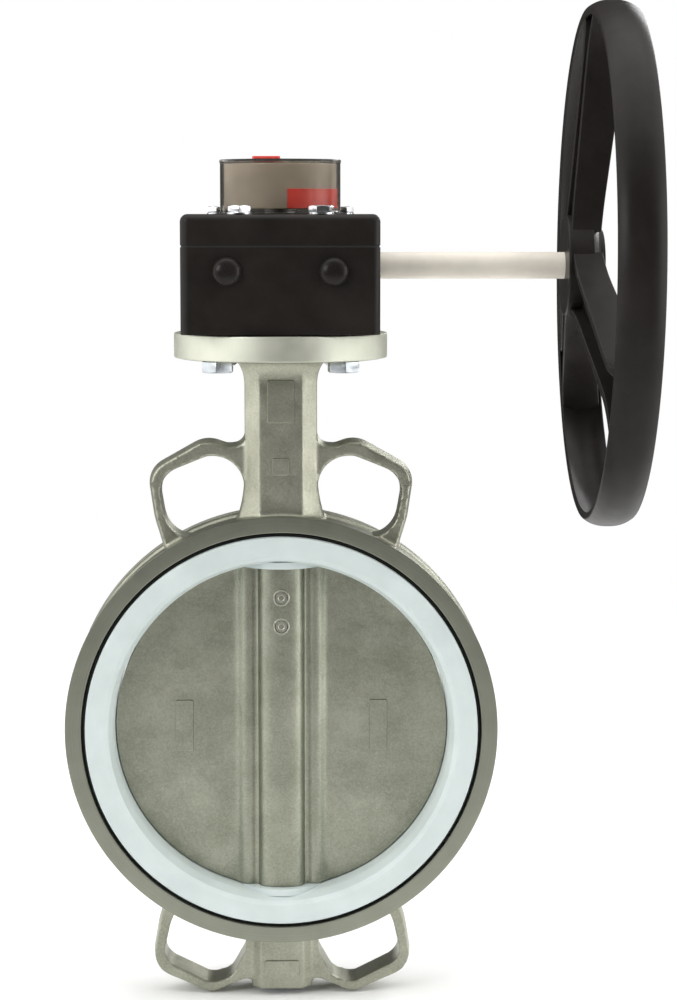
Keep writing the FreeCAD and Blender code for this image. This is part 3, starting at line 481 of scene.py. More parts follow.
@dataclass(frozen=True)
class Paint:
    """Sprayed enamel with a faint orange peel and uneven gloss."""

    name: str
    colour: Place
    rough: float = 0.3
    coat: float = 0.3
    peel: float = 0.03

    def make(self) -> bpy.types.Material:
        """Build the material."""
        shader = Shader(self.name)
        dust = shader.ramp(shader.noise(45, 5, 0.65), [(0.38, self.colour),
                                                       (0.72, [c * 1.5 + 0.003 for c in self.colour])])
        shader.link(dust, shader.surface.inputs["Base Color"])
        shader.link(shader.scaled(shader.noise(16, 5), self.rough - 0.08, self.rough + 0.12),
                    shader.surface.inputs["Roughness"])
        shader.bump([(shader.noise(1.8, 2), self.peel), (shader.noise(0.35, 2), self.peel * 0.25)])
        shader.set(Coat_Weight=self.coat, Coat_Roughness=0.12, Specular_IOR_Level=0.14)
        return shader.material


@dataclass(frozen=True)
class Plastic:
    """Moulded or sintered plastic and rubber."""

    name: str
    colour: Place
    rough: float = 0.4
    scatter: float = 0.0
    clear: float = 0.0
    grain: float = 0.02
    rings: bool = False
    index: float = 1.46

    def make(self) -> bpy.types.Material:
        """Build the material."""
        shader = Shader(self.name)
        tone = shader.ramp(shader.noise(22, 4), [(0.3, [c * 0.93 for c in self.colour]),
                                                 (0.7, [min(1, c * 1.04) for c in self.colour])])
        shader.link(tone, shader.surface.inputs["Base Color"])
        shader.link(shader.scaled(shader.noise(11, 4), self.rough - 0.06, self.rough + 0.08),
                    shader.surface.inputs["Roughness"])
        heights = [(shader.noise(0.7, 3), self.grain)]
        if self.rings:
            heights.append((shader.stripes(shader.radius(Axis.Y), 0.9), 0.012))
        shader.bump(heights)
        shader.set(Subsurface_Weight=self.scatter, Subsurface_Radius=(0.004, 0.004, 0.004),
                   Transmission_Weight=self.clear, IOR=self.index)
        return shader.material


@dataclass(frozen=True)
class Plated:
    """Bright plating with a fine drawn grain."""

    name: str
    colour: Place
    rough: float = 0.2

    def make(self) -> bpy.types.Material:
        """Build the material."""
        shader = Shader(self.name)
        bloom = shader.ramp(shader.noise(5, 4), [(0.3, [c * 0.8 for c in self.colour]), (0.7, self.colour)])
        shader.link(bloom, shader.surface.inputs["Base Color"])
        shader.link(shader.scaled(shader.noise(2.5, 4), self.rough - 0.06, self.rough + 0.12),
                    shader.surface.inputs["Roughness"])
        shader.bump([(shader.noise(0.5, 3), 0.01)])
        shader.set(Metallic=1.0)
        return shader.material


INPUT_AXIS: Place = (0, 42, 271)
FINISHES: dict[str, bpy.types.Material] = {
    "cast_stainless": CastMetal("cast_stainless", (0.30, 0.305, 0.24), (0.46, 0.46, 0.375), 0.40, 0.92).make(),
    "cast_disc": CastMetal("cast_disc", (0.25, 0.26, 0.20), (0.40, 0.405, 0.33), 0.38, 0.92, 0.06).make(),
    "faced_ring": TurnedMetal("faced_ring", (0.28, 0.29, 0.235), Axis.Y, rough=0.38).make(),
    # Flange rim and top: a far lighter copy of the body's machined stainless, a painted highlight for the light that
    # falls on the rim and top.
    "faced_flange": TurnedMetal("faced_flange", (0.66, 0.67, 0.57), Axis.Z, rough=0.48).make(),
    "seat_white": Plastic("seat_white", (0.64, 0.71, 0.70), 0.42, 0.25, grain=0.015, rings=True).make(),
    "backing_rubber": Plastic("backing_rubber", (0.012, 0.013, 0.011), 0.6).make(),
    "seal_rubber": Plastic("seal_rubber", (0.018, 0.018, 0.018), 0.65).make(),
    "bush_bronze": TurnedMetal("bush_bronze", (0.55, 0.36, 0.15), Axis.Z, rough=0.3).make(),
    "stem_steel": TurnedMetal("stem_steel", (0.40, 0.40, 0.34), Axis.Y, rough=0.34).make(),
    "gear_steel": Plated("gear_steel", (0.42, 0.42, 0.42), 0.35).make(),
    "zinc_steel": Plated("zinc_steel", (0.56, 0.60, 0.63), 0.27).make(),
    "bright_bolt": Plated("bright_bolt", (0.80, 0.81, 0.83), 0.14).make(),
    "gearbox_black": Paint("gearbox_black", (0.0125, 0.0105, 0.0092), 0.36, 0.03, 0.04).make(),
    "dome_black": Paint("dome_black", (0.0115, 0.0095, 0.0088), 0.25, 0.05, 0.01).make(),
    "wheel_black": Paint("wheel_black", (0.0125, 0.0105, 0.0095), 0.33, 0.0, 0.02).make(),
    # Input shaft: bright steel drawn as a near-white, warm non-metal. The colour is partly the shaft's own bright
    # steel and partly a painted reflection of warm white light.
    "shaft_cream": TurnedMetal("shaft_cream", (1.0, 0.90, 0.79), Axis.X, INPUT_AXIS, 0.45, metal=0.0).make(),
    "cap_plastic": Plastic("cap_plastic", (0.86, 0.83, 0.78), 0.10, clear=1.0, grain=0.002, index=1.16).make(),
    "drum_grey": Plastic("drum_grey", (0.42, 0.37, 0.31), 0.5).make(),
    "flag_red": Plastic("flag_red", (0.86, 0.085, 0.07), 0.38).make(),
}


def dress(piece: bpy.types.Object, slot: str, body: Body, *nodes: str, finish: str = "") -> None:
    """Give a finished piece its material, hide the CAD nodes it stands for and hang it on its body.

    Args:
        piece: The finished mesh, in place.
        slot: The record's material slot.
        body: The body it moves with.
        nodes: CAD nodes that it stands for.
        finish: Finish to show, where it differs from the slot's own.
    """
    settle(piece)
    piece.data.materials.clear()
    piece.data.materials.append(FINISHES[finish or slot])
    if nodes:
        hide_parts(*nodes)
    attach(piece, body.value)
    LOG.info("%s rides on %s with %d faces", piece.name, body.value, len(piece.data.polygons))


# ------------------------------------------------------------------ valve body
@dataclass
class BodyCasting:
    """Wafer body: a faced ring, an octagonal neck under a round flange, four open ears and a bottom boss."""

    ring_radius: float = 127.0
    recess_radius: float = 117.4
    bore_radius: float = 110.0
    face: float = 28.0
    recess_floor: float = 22.0
    skin_radius: float = 126.5
    waist_radius: float = 124.5
    neck_half: float = 21.2
    panel_half: float = 12.5
    flange_radius: float = 62.5
    flange_low: float = 217.7
    flange_top: float = 232.9
    flare_low: float = 203.0
    flare_out: float = 9.5
    root_high: float = 156.0
    root_out: float = 13.0
    ear_half: float = 12.6
    boss_half: float = 18.0
    boss_panel: float = 12.4
    boss_depth: float = 18.3
    boss_foot: float = 158.3
    voxel: float = 1.05

    LEVEL = 1e-6
    PLATES = ((8, 181, 206, 22), (5.2, 150.5, 160.5, 21.9), (10.3, -151.4, -140.6, 19.2))
    UPPER_RIM = ((12, 188, 0), (21, 188, 0), (21.4, 168.9, 6.5), (31.5, 167.9, 9), (43.8, 172.5, 17),
                 (79.0, 152.6, 15), (74.8, 124, 40), (67, 98, 0), (12, 98, 0))
    UPPER_EYE = ((21.6, 104, 0), (21.6, 160.2, 18), (43, 161, 12), (72.6, 149.0, 15), (67.0, 117.0, 18),
                 (44, 109, 0))
    LOWER_RIM = ((8, -154.6, 0), (23, -154.6, 9), (41.6, -163.2, 13), (78.6, -147, 15), (73.8, -118, 40),
                 (67, -98, 0), (8, -98, 0))
    LOWER_EYE = ((21.7, -104, 0), (21.7, -136.5, 12), (30.6, -152.4, 9), (42, -156, 9), (71.6, -141.2, 10),
                 (66.5, -119, 20), (60, -104, 0))

    def octagon(self, across: float, deep: float, panel: float, corner: float) -> list[Point]:
        """Column section of the given half widths, flat panels front and back, its corners cut back."""
        low = deep - corner
        return [(-panel, -deep), (panel, -deep), (across, -low), (across, low),
                (panel, deep), (-panel, deep), (-across, low), (-across, -low)]

    def column(self, name: str, sections: Sequence[tuple[float, float, float]]) -> bpy.types.Object:
        """Octagonal column extruded up through (across, deep, height) sections."""
        first = sections[0]
        shape = (self.panel_half, self.neck_half - self.panel_half)
        piece = outline_face(name, self.octagon(first[0], first[1], *shape), Axis.Z, first[2])
        last = first[:2]
        for (_, _, before), (across, deep, height) in zip(sections, sections[1:]):
            with editing(piece, all_selected=False):
                pick(piece, lambda spot, z=before: abs(spot.z - z * MM) < self.LEVEL)
                bpy.ops.mesh.extrude_region_move(TRANSFORM_OT_translate={"value": (0, 0, (height - before) * MM)})
            below, above = self.octagon(*last, *shape), self.octagon(across, deep, *shape)
            for vertex in (v for v in piece.data.vertices if abs(v.co.z - height * MM) < self.LEVEL):
                number = min(range(8), key=lambda n, v=vertex: (Vector(below[n]) * MM - v.co.xy).length)
                vertex.co.xy = Vector(above[number]) * MM
            last = (across, deep)
        return tidy(piece)

    def neck(self) -> bpy.types.Object:
        """Neck that spreads in a curve into the ring below and the flange above."""
        steps = 7
        sections = []
        for step in range(steps, -1, -1):
            along = step / steps
            spread = 1 - math.sqrt(1 - along ** 2)
            sections.append((self.neck_half + self.root_out * spread, self.neck_half + 4 * spread,
                             self.root_high - (self.root_high - 113) * along))
        for step in range(0, steps + 1):
            along = step / steps
            spread = self.flare_out * (1 - math.sqrt(1 - along ** 2))
            sections.append((self.neck_half + spread, self.neck_half + spread,
                             self.flare_low + 0.1 + (self.flange_low - self.flare_low + 1) * along))
        return self.column("Neck", sections)

    def plates(self) -> bpy.types.Object:
        """Blank raised plates: two up the neck and one on the bottom boss, front and back."""
        parts = []
        for across, low, high, reach in self.PLATES:
            corners = [(-across, low, 1.2), (across, low, 1.2), (across, high, 1.2), (-across, high, 1.2)]
            parts.append(soften(prism("Plate", rounded(corners, 5), Axis.Y, -reach, reach), 0.45))
        return join(parts, "body_blank_plates")

    def ear(self, side: int, rim: Sequence[tuple[float, float, float]],
            eye: Sequence[tuple[float, float, float]], draft: float) -> bpy.types.Object:
        """One open ear: its rim, drafted both ways from the mid-plane, with the bolt's eye cut through."""
        outer, inner = ([(side * a, u, r) for a, u, r in corners] for corners in (rim, eye))
        halves = []
        for way in (1, -1):
            half = outline_face("Ear", rounded(outer, 8), Axis.Y, 0)
            depth = way * self.ear_half * math.copysign(1, half.data.polygons[0].normal.y)
            with editing(half):
                bpy.ops.mesh.inset(thickness=draft * MM, depth=depth * MM)
            halves.append(half)
        blank = tidy(join(halves, "Ear"))
        hole = prism("Eye", rounded(inner, 8), Axis.Y, -self.ear_half - 2, self.ear_half + 2)
        return carve(blank, hole)

    def boss(self) -> bpy.types.Object:
        """Bottom boss with its corners cut back."""
        shape = self.octagon(self.boss_half, self.boss_depth, self.boss_panel, self.boss_half - self.boss_panel)
        column = outline_face("Boss", shape, Axis.Z, -self.boss_foot)
        with editing(column):
            bpy.ops.mesh.extrude_region_move(TRANSFORM_OT_translate={"value": (0, 0, 44 * MM)})
        return tidy(column)

    def casting(self) -> bpy.types.Object:
        """Rough cast part of the body, melted into one skin so that its corners have cast fillets."""
        skin = lathe("Skin", [(121, -24.5), (self.skin_radius, -24.5), (self.skin_radius, -13),
                              (self.waist_radius, -10.5), (self.waist_radius, 10.5), (self.skin_radius, 13),
                              (self.skin_radius, 24.5), (121, 24.5)], Axis.Y)
        slab = lathe("Slab", [(0, self.flange_low), (60.5, self.flange_low), (60.5, self.flange_top - 0.6),
                              (0, self.flange_top - 0.6)], Axis.Z)
        ears = [self.ear(side, *shape) for side in (1, -1)
                for shape in ((self.UPPER_RIM, self.UPPER_EYE, 1.9), (self.LOWER_RIM, self.LOWER_EYE, 1.0))]
        piece = join([skin, slab, self.neck(), self.boss(), *ears], "body_casting")
        modify(piece, "REMESH", mode="VOXEL", voxel_size=self.voxel * MM)
        modify(piece, "SMOOTH", factor=0.5, iterations=3)
        bore = lathe("Bore", [(0, -40), (120.5, -40), (120.5, 40), (0, 40)], Axis.Y)
        carve(piece, bore)
        modify(piece, "DECIMATE", ratio=0.45)
        return shade(piece, 50)

    def faced_ring(self) -> bpy.types.Object:
        """Ring with its two machined faces and the recesses that hold the seat's lips."""
        skin = self.skin_radius - 1.5
        profile = [(self.bore_radius, -self.recess_floor), (self.recess_radius, -self.recess_floor),
                   (self.recess_radius, -self.face), (self.ring_radius, -self.face), (self.ring_radius, -23.5),
                   (skin, -22), (skin, 22), (self.ring_radius, 23.5), (self.ring_radius, self.face),
                   (self.recess_radius, self.face), (self.recess_radius, self.recess_floor),
                   (self.bore_radius, self.recess_floor)]
        return soften(lathe("body_faced_ring", profile, Axis.Y, steps=192), 0.7)

    def faced_flange(self) -> bpy.types.Object:
        """Machined rim and top of the gearbox flange."""
        profile = [(30, self.flange_low + 0.6), (self.flange_radius, self.flange_low + 0.6),
                   (self.flange_radius, self.flange_top), (30, self.flange_top)]
        return soften(lathe("body_flange_rim", profile, Axis.Z, steps=160), 0.9)

    def build(self) -> None:
        """Make and dress the body."""
        dress(self.casting(), "cast_stainless", Body.VALVE, "valve_body")
        dress(self.plates(), "cast_stainless", Body.VALVE, "valve_body")
        dress(self.faced_ring(), "cast_stainless", Body.VALVE, "valve_body", finish="faced_ring")
        dress(self.faced_flange(), "cast_stainless", Body.VALVE, "valve_body", finish="faced_flange")


# ------------------------------------------------------------------ seat and disc
@dataclass
class Seat:
    """White liner with a lip on each face and a flat land round each stem, on a black backing ring."""

    bore: float = 98.7
    mouth: float = 102.6
    lip: float = 115.2
    face: float = 30.0
    back: float = 102.7
    land_radius: float = 25.0
    land: float = 95.6

    def liner(self) -> bpy.types.Object:
        """Turned liner with its two lands."""
        half = [(self.bore, 18), (self.bore + 0.7, 22), (self.mouth - 1.2, 28.2), (self.mouth + 1.4, self.face),
                (self.lip - 1.6, self.face), (self.lip - 0.4, self.face - 0.4), (self.lip, self.face - 1.6),
                (self.lip, 24), (self.back, 24)]
        profile = [(r, -a) for r, a in half] + [(r, a) for r, a in reversed(half)]
        piece = lathe("seat_liner_skin", profile, Axis.Y, steps=192)
        for side in (1, -1):
            low, high = sorted((side * self.land, side * 99.6))
            land = lathe("Land", [(0, low), (self.land_radius, low), (self.land_radius, high), (0, high)], Axis.Z,
                         steps=96)
            carve(piece, land, "UNION")
        return soften(piece, 0.35, 30)

    def backing(self) -> bpy.types.Object:
        """Rubber ring, seen as the dark line between the lip and the metal."""
        profile = [(102.8, -23.9), (115.3, -23.9), (115.5, -25.6), (116.3, -26.1), (117.2, -25.4), (117.3, -22.1),
                   (109.9, -22.1)]
        profile += [(r, -a) for r, a in reversed(profile)]
        return shade(lathe("seat_backing", profile, Axis.Y, steps=160))

    def build(self) -> None:
        """Make and dress the seat."""
        dress(self.liner(), "seat_white", Body.VALVE, "seat_liner")
        dress(self.backing(), "backing_rubber", Body.VALVE, "seat_backing_ring")


@dataclass
class Disc:
    """Cast disc whose stem boss is a round ridge between two soft shoulders, with two cross pins."""

    radius: float = 98.3
    half: float = 7.4
    hub_end: float = 95.3
    shoulder_rise: float = 4.6
    ridge_rise: float = 7.8
    ridge_half: float = 13.6
    pin_heights: tuple[float, float] = (78.0, 61.0)
    pin_radius: float = 4.0

    def surface(self, across: float) -> float:
        """Half thickness of the disc at a distance from the stem's line."""
        away = abs(across)
        shoulder = self.shoulder_rise / (1 + math.exp((away - 24.2) / 1.5))
        valley = 1.3 * math.exp(-((away - 15.4) / 2.2) ** 2)
        ridge = 0.0
        if away < self.ridge_half:
            ridge = self.ridge_rise * (1 - (away / self.ridge_half) ** 2.1) ** 0.5
        return self.half + shoulder + ridge - valley * (away > 9)

    def casting(self) -> bpy.types.Object:
        """Disc profile drawn out along the stem and trimmed to the sphere."""
        spots = [-100.0, -70.0, -45.0] + [-36 + 0.6 * i for i in range(121)] + [45.0, 70.0, 100.0]
        outline = [(x, -self.surface(x)) for x in spots] + [(x, self.surface(x)) for x in reversed(spots)]
        piece = prism("disc_casting", outline, Axis.Z, -99, 99)
        flat = math.degrees(math.asin(self.hub_end / self.radius))
        ball = [(0, -self.hub_end), *arc((0, 0), self.radius, -flat, flat, 96), (0, self.hub_end)]
        carve(piece, lathe("Ball", ball, Axis.Z, steps=256), "INTERSECT")
        pads = []
        for side in (1, -1):
            corners = [(side * 57.5 + a * 5.25, b * 15.3, 1.2) for a, b in ((-1, -1), (1, -1), (1, 1), (-1, 1))]
            pads.append(soften(prism("Pad", rounded(corners, 4), Axis.Y, -self.half - 0.8, self.half + 0.8), 0.4))
        return join([soften(piece, 0.5, 32), *pads], "disc_casting")

    def pins(self) -> bpy.types.Object:
        """Two staked pins with a bead round each head."""
        bars = []
        for height in self.pin_heights:
            pin = rod("Pin", self.pin_radius, (0, -20.1, height), 40.2, Axis.Y, 0.7)
            for side in (1, -1):
                centre = lathe("Centre", [(0, side * 18.6), (2.2, side * 20.3), (0, side * 20.3)], Axis.Y,
                               (0, 0, height), 32)
                carve(pin, centre)
            bars.append(pin)
            for side in (1, -1):
                bead = arc((4.5, side * 19.9), 0.55, 0, 360, 10)[:-1]
                bars.append(lathe("Bead", bead, Axis.Y, (0, 0, height), 40))
        return shade(join(bars, "disc_cross_pins"))

    def build(self) -> None:
        """Make and dress the disc."""
        dress(self.casting(), "cast_disc", Body.STEM, "disc")
        dress(self.pins(), "stem_steel", Body.STEM, "disc_pins")


# ------------------------------------------------------------------ gearbox
@dataclass
class Gearbox:
    """Black worm gearbox: housing, bevelled cover, bolts, stop-screw domes and the shaft's end cap."""

    half: float = 56.5
    front: float = -58.0
    rear: float = 66.0
    low: float = 233.7
    split: float = 283.0
    cover_low: float = 283.8
    top: float = 301.6
    corner: float = 5.0
    cover_screws: tuple[Point, ...] = ((23.2, -48), (-23.2, -48), (37, 54), (-37, 54))
    mount_circle: float = 51.0
    flange_low: float = 217.7

    def footprint(self, inset: float = 0.0) -> list[Point]:
        """Rounded rectangle of the casing."""
        left, right, front, rear = -self.half + inset, self.half - inset, self.front + inset, self.rear - inset
        return rounded([(left, front, self.corner), (right, front, self.corner), (right, rear, self.corner),
                        (left, rear, self.corner)], 10)

    def housing(self) -> bpy.types.Object:
        """Lower casing with a shallow panel sunk into its back and a boss where the shaft comes out."""
        piece = prism("gearbox_housing_shell", self.footprint(), Axis.Z, self.low, self.split)
        with editing(piece, all_selected=False):
            pick(piece, lambda spot: abs(spot.y - self.rear * MM) < 1e-5, "faces")
            bpy.ops.mesh.inset(thickness=9 * MM, depth=-1.2 * MM)
        boss = lathe("ShaftBoss", [(0, self.half - 4), (15, self.half - 4), (15, self.half),
                                   (14, self.half + 0.6), (0, self.half + 0.6)], Axis.X, INPUT_AXIS, 64)
        carve(piece, boss, "UNION")
        return soften(piece, 0.9, 30, 3)

    def cover(self) -> bpy.types.Object:
        """Cover with a broad round along its top edge."""
        piece = prism("gearbox_cover_shell", self.footprint(), Axis.Z, self.cover_low, self.top)
        with editing(piece, all_selected=False):
            pick(piece, lambda spot: abs(spot.z - self.top * MM) < 1e-6, "edges")
            bpy.ops.mesh.bevel(offset=4.3 * MM, segments=8, profile=0.5)
        return soften(piece, 0.6, 30)

    def cover_bolts(self) -> bpy.types.Object:
        """Bright hexagon bolts with washers."""
        parts = []
        for number, (x, y) in enumerate(self.cover_screws):
            parts.append(hex_head("Head", 12.6, 4.2, (x, y, self.top + 0.7), Axis.Z, 1, 8 + 23 * number))
            parts.append(lathe("Washer", [(4, self.top), (7.4, self.top), (7.4, self.top + 0.8), (4, self.top + 0.8)],
                               Axis.Z, (x, y, 0), 40))
            parts.append(rod("Shank", 3.95, (x, y, self.top - 28), 28.5, Axis.Z))
        return shade(join(parts, "cover_hex_bolts"), 30)

    def mount_bolts(self) -> bpy.types.Object:
        """Zinc plated bolts up through the flange."""
        parts = []
        spread = self.mount_circle * math.sqrt(0.5)
        for number, (a, b) in enumerate(((1, 1), (-1, 1), (-1, -1), (1, -1))):
            place = (a * spread, b * spread)
            parts.append(hex_head("Head", 17, 6.4, (*place, self.flange_low), Axis.Z, -1, 4 + 11 * number))
            parts.append(rod("Shank", 4.95, (*place, self.flange_low - 0.5), 29, Axis.Z))
        return shade(join(parts, "flange_hex_bolts"), 30)

    def domes(self) -> bpy.types.Object:
        """Domed caps over the two stop screws."""
        parts = []
        for side in (1, -1):
            profile = [(0, self.front + 0.3), (8.2, self.front + 0.3), (8.2, self.front - 1.3)]
            profile += [(8.0 * math.cos(t), self.front - 1.5 - 4.0 * math.sin(t))
                        for t in (i * math.pi / 20 for i in range(10))] + [(0, self.front - 5.5)]
            parts.append(lathe("Dome", profile, Axis.Y, (side * 30.2, 0, 269.4), 56))
        return shade(join(parts, "stop_screw_domes"), 40)

    def end_cap(self) -> bpy.types.Object:
        """Pressed cap over the blind end of the worm shaft."""
        face = -self.half - 1.5
        profile = [(0, face + 0.5), (6.5, face + 0.5), (7.3, face), (9.6, face), (10.2, face + 0.5),
                   (11, -self.half), (11, -self.half + 3.2), (0, -self.half + 3.2)]
        return shade(lathe("worm_shaft_cap", profile, Axis.X, INPUT_AXIS, 64))

    def build(self) -> None:
        """Make and dress the gearbox."""
        dress(self.housing(), "gearbox_black", Body.VALVE, "gearbox_housing")
        dress(self.cover(), "gearbox_black", Body.VALVE, "gearbox_cover")
        dress(self.cover_bolts(), "bright_bolt", Body.VALVE, "cover_bolts")
        dress(self.mount_bolts(), "zinc_steel", Body.VALVE, "mounting_bolts")
        dress(self.domes(), "dome_black", Body.VALVE, "stop_screw_caps")
        dress(self.end_cap(), "gearbox_black", Body.VALVE, "worm_end_cap")


@dataclass
class Indicator:
    """Smoked round cap over a drum that turns with the stem and carries a red flag."""

    radius: float = 35.5
    foot: float = 302.2
    top: float = 333.0
    wall: float = 1.4
    drum_radius: float = 32.8
    drum_low: float = 304.6
    drum_top: float = 330.6
    flag_top: float = 316.1
    mark: tuple[Point, Point] = ((-16, -28), (0, 28))
    mark_rise: float = 1.6

    def cap(self) -> bpy.types.Object:
        """Clear moulding with a rim at its top."""
        side, inner = self.radius - 0.4, self.radius - self.wall
        profile = [(inner, self.foot), (self.radius - 0.1, self.foot), (self.radius - 0.1, self.foot + 0.9),
                   (side, self.foot + 1.2), (side, self.top - 2.0), (self.radius - 0.05, self.top - 1.7),
                   (self.radius - 0.05, self.top - 0.4), (self.radius - 0.4, self.top), (0, self.top),
                   (0, self.top - self.wall), (inner, self.top - self.wall)]
        return shade(lathe("indicator_cap_shell", profile, Axis.Z, steps=128), 30)

    def drum(self) -> bpy.types.Object:
        """Grey drum with a rounded top edge."""
        profile = [(14, self.drum_low), (self.drum_radius, self.drum_low), (self.drum_radius, self.drum_top),
                   (0, self.drum_top), (0, self.drum_top - 3), (28, self.drum_top - 3), (28, self.drum_low + 3),
                   (14, self.drum_low + 3)]
        return soften(lathe("indicator_drum_skin", profile, Axis.Z, steps=96), 0.6)

    def flag(self) -> bpy.types.Object:
        """Red quarter band on the drum."""
        outer, inner = self.drum_radius + 0.55, self.drum_radius - 0.2
        band = arc((0, 0), outer, -83, -1, 28) + arc((0, 0), inner, -1, -83, 28)
        piece = prism("indicator_flag_band", band, Axis.Z, self.drum_low + 0.2, self.flag_top)
        return soften(piece, 0.25, 50)

    def pointer(self) -> bpy.types.Object:
        """Raised red mark on the cap's top, which shows the pipe's line."""
        (left, front), (right, rear) = self.mark
        shape = rounded([(left, front, 1.5), (right, front, 1.5), (right, rear, 1.5), (left, rear, 1.5)], 6)
        return soften(prism("indicator_pointer", shape, Axis.Z, self.top + 0.01, self.top + self.mark_rise), 0.4)

    def build(self) -> None:
        """Make and dress the indicator."""
        dress(self.pointer(), "flag_red", Body.VALVE, "indicator_mark")
        dress(self.cap(), "cap_plastic", Body.VALVE, "indicator_cap")
        dress(self.drum(), "drum_grey", Body.STEM, "indicator_drum")
        dress(self.flag(), "flag_red", Body.STEM, "indicator_flag")


# ------------------------------------------------------------------ handwheel
@dataclass
class Handwheel:
    """Cast handwheel: crowned hollow rim, three I-section spokes and a hub on the input shaft."""

    radius: float = 157.5
    left: float = 183.0
    right: float = 210.5
    wall: float = 4.5
    drop: float = 4.5
    hub_left: float = 171.0
    hub_right: float = 193.6
    screw_seat: float = 185.6
    spoke_count: int = 3

    def rim(self) -> bpy.types.Object:
        """Rim of C section, open towards the hub."""
        middle, half = (self.left + self.right) / 2, (self.right - self.left) / 2
        outer = [(self.radius - self.drop * abs(s) ** 2.6, middle + half * s)
                 for s in (-1 + 2 * i / 20 for i in range(21))]
        hollow = self.radius - self.drop - self.wall
        inner = [(hollow + 3.4 * (1 - abs(s) ** 3), middle + (half - 1) * s)
                 for s in (1 - 2 * i / 16 for i in range(17))]
        piece = lathe("handwheel_rim", outer + inner, Axis.X, INPUT_AXIS, 192)
        return soften(piece, 0.9, 40, 3)

    def half_width(self, reach: float) -> float:
        """Half width of a spoke at a distance from the hub's centre."""
        taper = 16.5 - 3.0 * min(1.0, max(0.0, (reach - 20) / 90))
        flare = max(0.0, (reach - 122) / 30)
        root = max(0.0, (44 - reach) / 24)
        return taper + 13 * flare ** 2 + 5 * root ** 2

    def slab(self, name: str, band: Sequence[Point], depth: Callable[[float], tuple[float, float]],
             angle: float) -> bpy.types.Object:
        """Piece of one spoke: an outline across the wheel, with its depth given at each reach."""
        piece = prism(name, band, Axis.X, 0, 1)
        for vertex in piece.data.vertices:
            low, high = depth(vertex.co.z / MM)
            vertex.co.x = (high if vertex.co.x > 0.5 * MM else low) * MM
        turn = Euler((math.radians(angle - 90), 0, 0)).to_matrix()
        for vertex in piece.data.vertices:
            vertex.co = turn @ vertex.co + Vector(INPUT_AXIS) * MM
        return piece

    def spoke(self, angle: float) -> list[bpy.types.Object]:
        """One spoke: two flanges and the thin web between them."""
        reaches = [20 + 4 * i for i in range(34)]

        def flange_depth(reach: float) -> tuple[float, float]:
            """Near and far face of a flange at a reach."""
            share = (reach - 14) / 138
            return 172.5 + 12 * share, 190 + 18.5 * share

        def web_depth(reach: float) -> tuple[float, float]:
            """Near and far face of the web at a reach."""
            low, high = flange_depth(reach)
            return (low + high) / 2 - 2.4, (low + high) / 2 + 2.4

        pieces = []
        for side in (1, -1):
            outer = [(side * self.half_width(r), r) for r in reaches]
            inner = [(side * (self.half_width(r) - 5), r) for r in reversed(reaches)]
            pieces.append(self.slab("SpokeFlange", outer + inner, flange_depth, angle))
        web = [(self.half_width(r) - 2, r) for r in reaches]
        web += [(2 - self.half_width(r), r) for r in reversed(reaches)]
        pieces.append(self.slab("SpokeWeb", web, web_depth, angle))
        return pieces

    def spider(self) -> bpy.types.Object:
        """Hub and spokes with rounded cast edges."""
        hub = lathe("Hub", [(0, self.hub_left), (29.2, self.hub_left), (30, self.hub_left + 0.8), (30, 186),
                            (26, 189), (22, 190.5), (21.4, self.hub_right), (14.5, self.hub_right),
                            (14.5, self.screw_seat), (0, self.screw_seat)], Axis.X, INPUT_AXIS, 96)
        carve(hub, lathe("Bore", [(0, 160), (8.1, 160), (8.1, 220), (0, 220)], Axis.X, INPUT_AXIS, 48))
        parts = [soften(hub, 1.0, 30, 3)]
        for number in range(self.spoke_count):
            parts += [soften(part, 0.8, 40, 3) for part in self.spoke(90 + 360 / self.spoke_count * number)]
        return join(parts, "handwheel_spider")

    def build(self) -> None:
        """Make and dress the handwheel."""
        dress(self.rim(), "wheel_black", Body.INPUT, "handwheel")
        dress(self.spider(), "wheel_black", Body.INPUT, "handwheel")


# ------------------------------------------------------------------ the rest of the frame, stage and camera
def dress_frame() -> None:
    """Give every CAD node that still shows its own finish."""
    slots = {part["node"]: part["material_slot"] for part in frame["record"]["subparts"]}
    for name, node in NODES.items():
        if node.hide_render:
            continue
        node.data.materials.clear()
        node.data.materials.append(FINISHES[slots[name]])


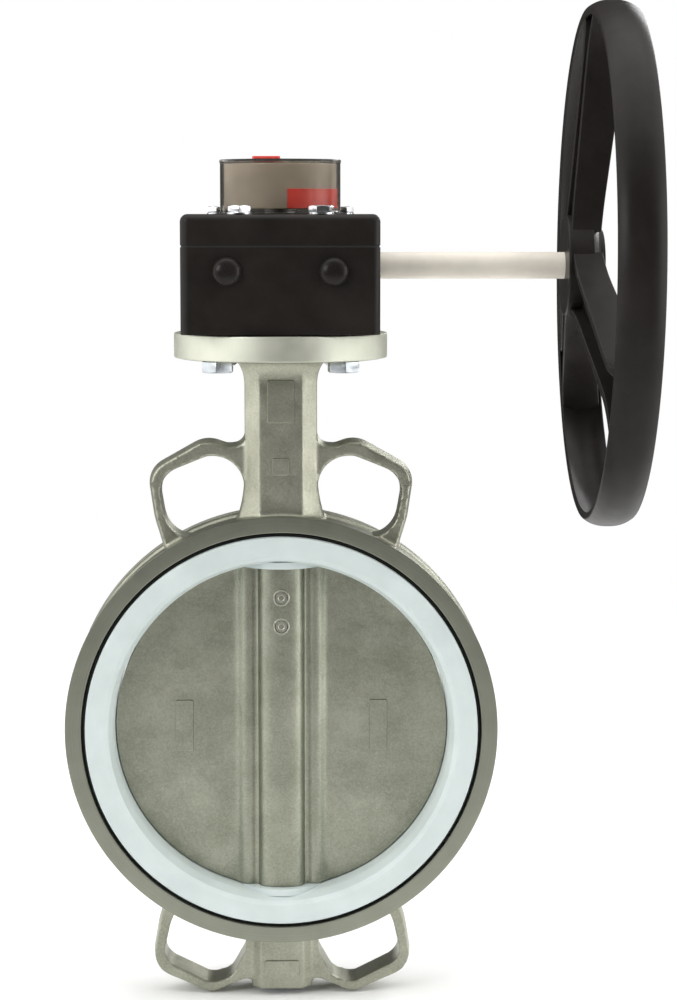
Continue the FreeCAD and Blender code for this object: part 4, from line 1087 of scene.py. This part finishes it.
@dataclass
class Studio:
    """Pale floor, soft lights and the camera."""

    floor: float = -162.3
    eye: Place = (2.2, -1468.0, 298.8)
    pitch: float = 6.42
    yaw: float = 1.24
    lens: float = 89.9

    def light(self, name: str, at: Place, aim: Place, size: float, power: float, tint: Place = (1, 1, 1)) -> None:
        """Square soft light in millimetres, aimed at a point."""
        lamp = bpy.data.lights.new(name, "AREA")
        lamp.size, lamp.energy, lamp.color = size * MM, power, tint
        piece = bpy.data.objects.new(name, lamp)
        piece.location = Vector(at) * MM
        piece.rotation_euler = (Vector(aim) - Vector(at)).to_track_quat("-Z", "Y").to_euler()
        bpy.context.scene.collection.objects.link(piece)

    @staticmethod
    def paper() -> bpy.types.Material:
        """Pale paper that fades away far from the object."""
        paper = Shader("floor_paper")
        paper.set(Base_Color=(0.93, 0.93, 0.93, 1), Roughness=0.95)
        reach = paper.add("ShaderNodeMapRange")
        reach.inputs["From Min"].default_value, reach.inputs["From Max"].default_value = 0.45, 1.5
        reach.inputs["To Min"].default_value, reach.inputs["To Max"].default_value = 1.0, 0.0
        paper.link(paper.radius(Axis.Z), reach.inputs["Value"])
        paper.link(reach.outputs["Result"], paper.surface.inputs["Alpha"])
        return paper.material

    @staticmethod
    def surroundings() -> None:
        """White room that is darker in front of and behind the object, as a photographer's tent is."""
        world = bpy.data.worlds.new("studio")
        world.use_nodes = True
        nodes, links = world.node_tree.nodes, world.node_tree.links
        place, parts = nodes.new("ShaderNodeTexCoord"), nodes.new("ShaderNodeSeparateXYZ")
        depth, walls = nodes.new("ShaderNodeMath"), nodes.new("ShaderNodeValToRGB")
        depth.operation = "ABSOLUTE"
        for element, (position, tone) in zip(walls.color_ramp.elements, ((0.32, 1.75), (0.80, 0.07))):
            element.position, element.color = position, (tone, tone, tone * 0.99, 1)
        room, seen = nodes["Background"], nodes.new("ShaderNodeBackground")
        ray, choice = nodes.new("ShaderNodeLightPath"), nodes.new("ShaderNodeMixShader")
        seen.inputs["Color"].default_value = (1, 1, 1, 1)
        links.new(place.outputs["Generated"], parts.inputs[0])
        links.new(parts.outputs["Y"], depth.inputs[0])
        links.new(depth.outputs[0], walls.inputs["Fac"])
        links.new(walls.outputs["Color"], room.inputs["Color"])
        links.new(ray.outputs["Is Camera Ray"], choice.inputs[0])
        links.new(room.outputs[0], choice.inputs[1])
        links.new(seen.outputs[0], choice.inputs[2])
        links.new(choice.outputs[0], nodes["World Output"].inputs["Surface"])
        bpy.context.scene.world = world

    def build(self) -> None:
        """Make the floor, world, lights and camera."""
        deselect()
        bpy.ops.mesh.primitive_plane_add(size=40, location=(0, 0, self.floor * MM))
        floor = bpy.context.object
        floor.name = "floor"
        floor.data.materials.append(self.paper())
        self.surroundings()
        bpy.context.scene.view_settings.view_transform = "Standard"
        self.light("key", (-1500, -1500, 900), (0, 0, 50), 900, 14)
        self.light("side", (2100, -500, 300), (0, 0, 50), 1500, 12)
        self.light("rear", (1100, 1700, 900), (0, 0, 50), 900, 12)
        self.light("top", (0, -100, 2200), (0, 0, 0), 2200, 9)
        camera = bpy.data.cameras.new("camera")
        camera.lens, camera.sensor_width, camera.clip_end = self.lens, 36.0, 100
        piece = bpy.data.objects.new("camera", camera)
        piece.location = Vector(self.eye) * MM
        piece.rotation_euler = (math.radians(90 - self.pitch), 0, math.radians(-self.yaw))
        bpy.context.scene.collection.objects.link(piece)
        bpy.context.scene.camera = piece


def main() -> None:
    """Build every sub-assembly in order."""
    logging.basicConfig(level=logging.INFO, format="%(name)s: %(message)s")
    for assembly in (BodyCasting(), Seat(), Disc(), Gearbox(), Indicator(), Handwheel()):
        assembly.build()
        LOG.info("%s finished", type(assembly).__name__)
    dress_frame()
    Studio().build()


if __name__ == "__main__":
    main()
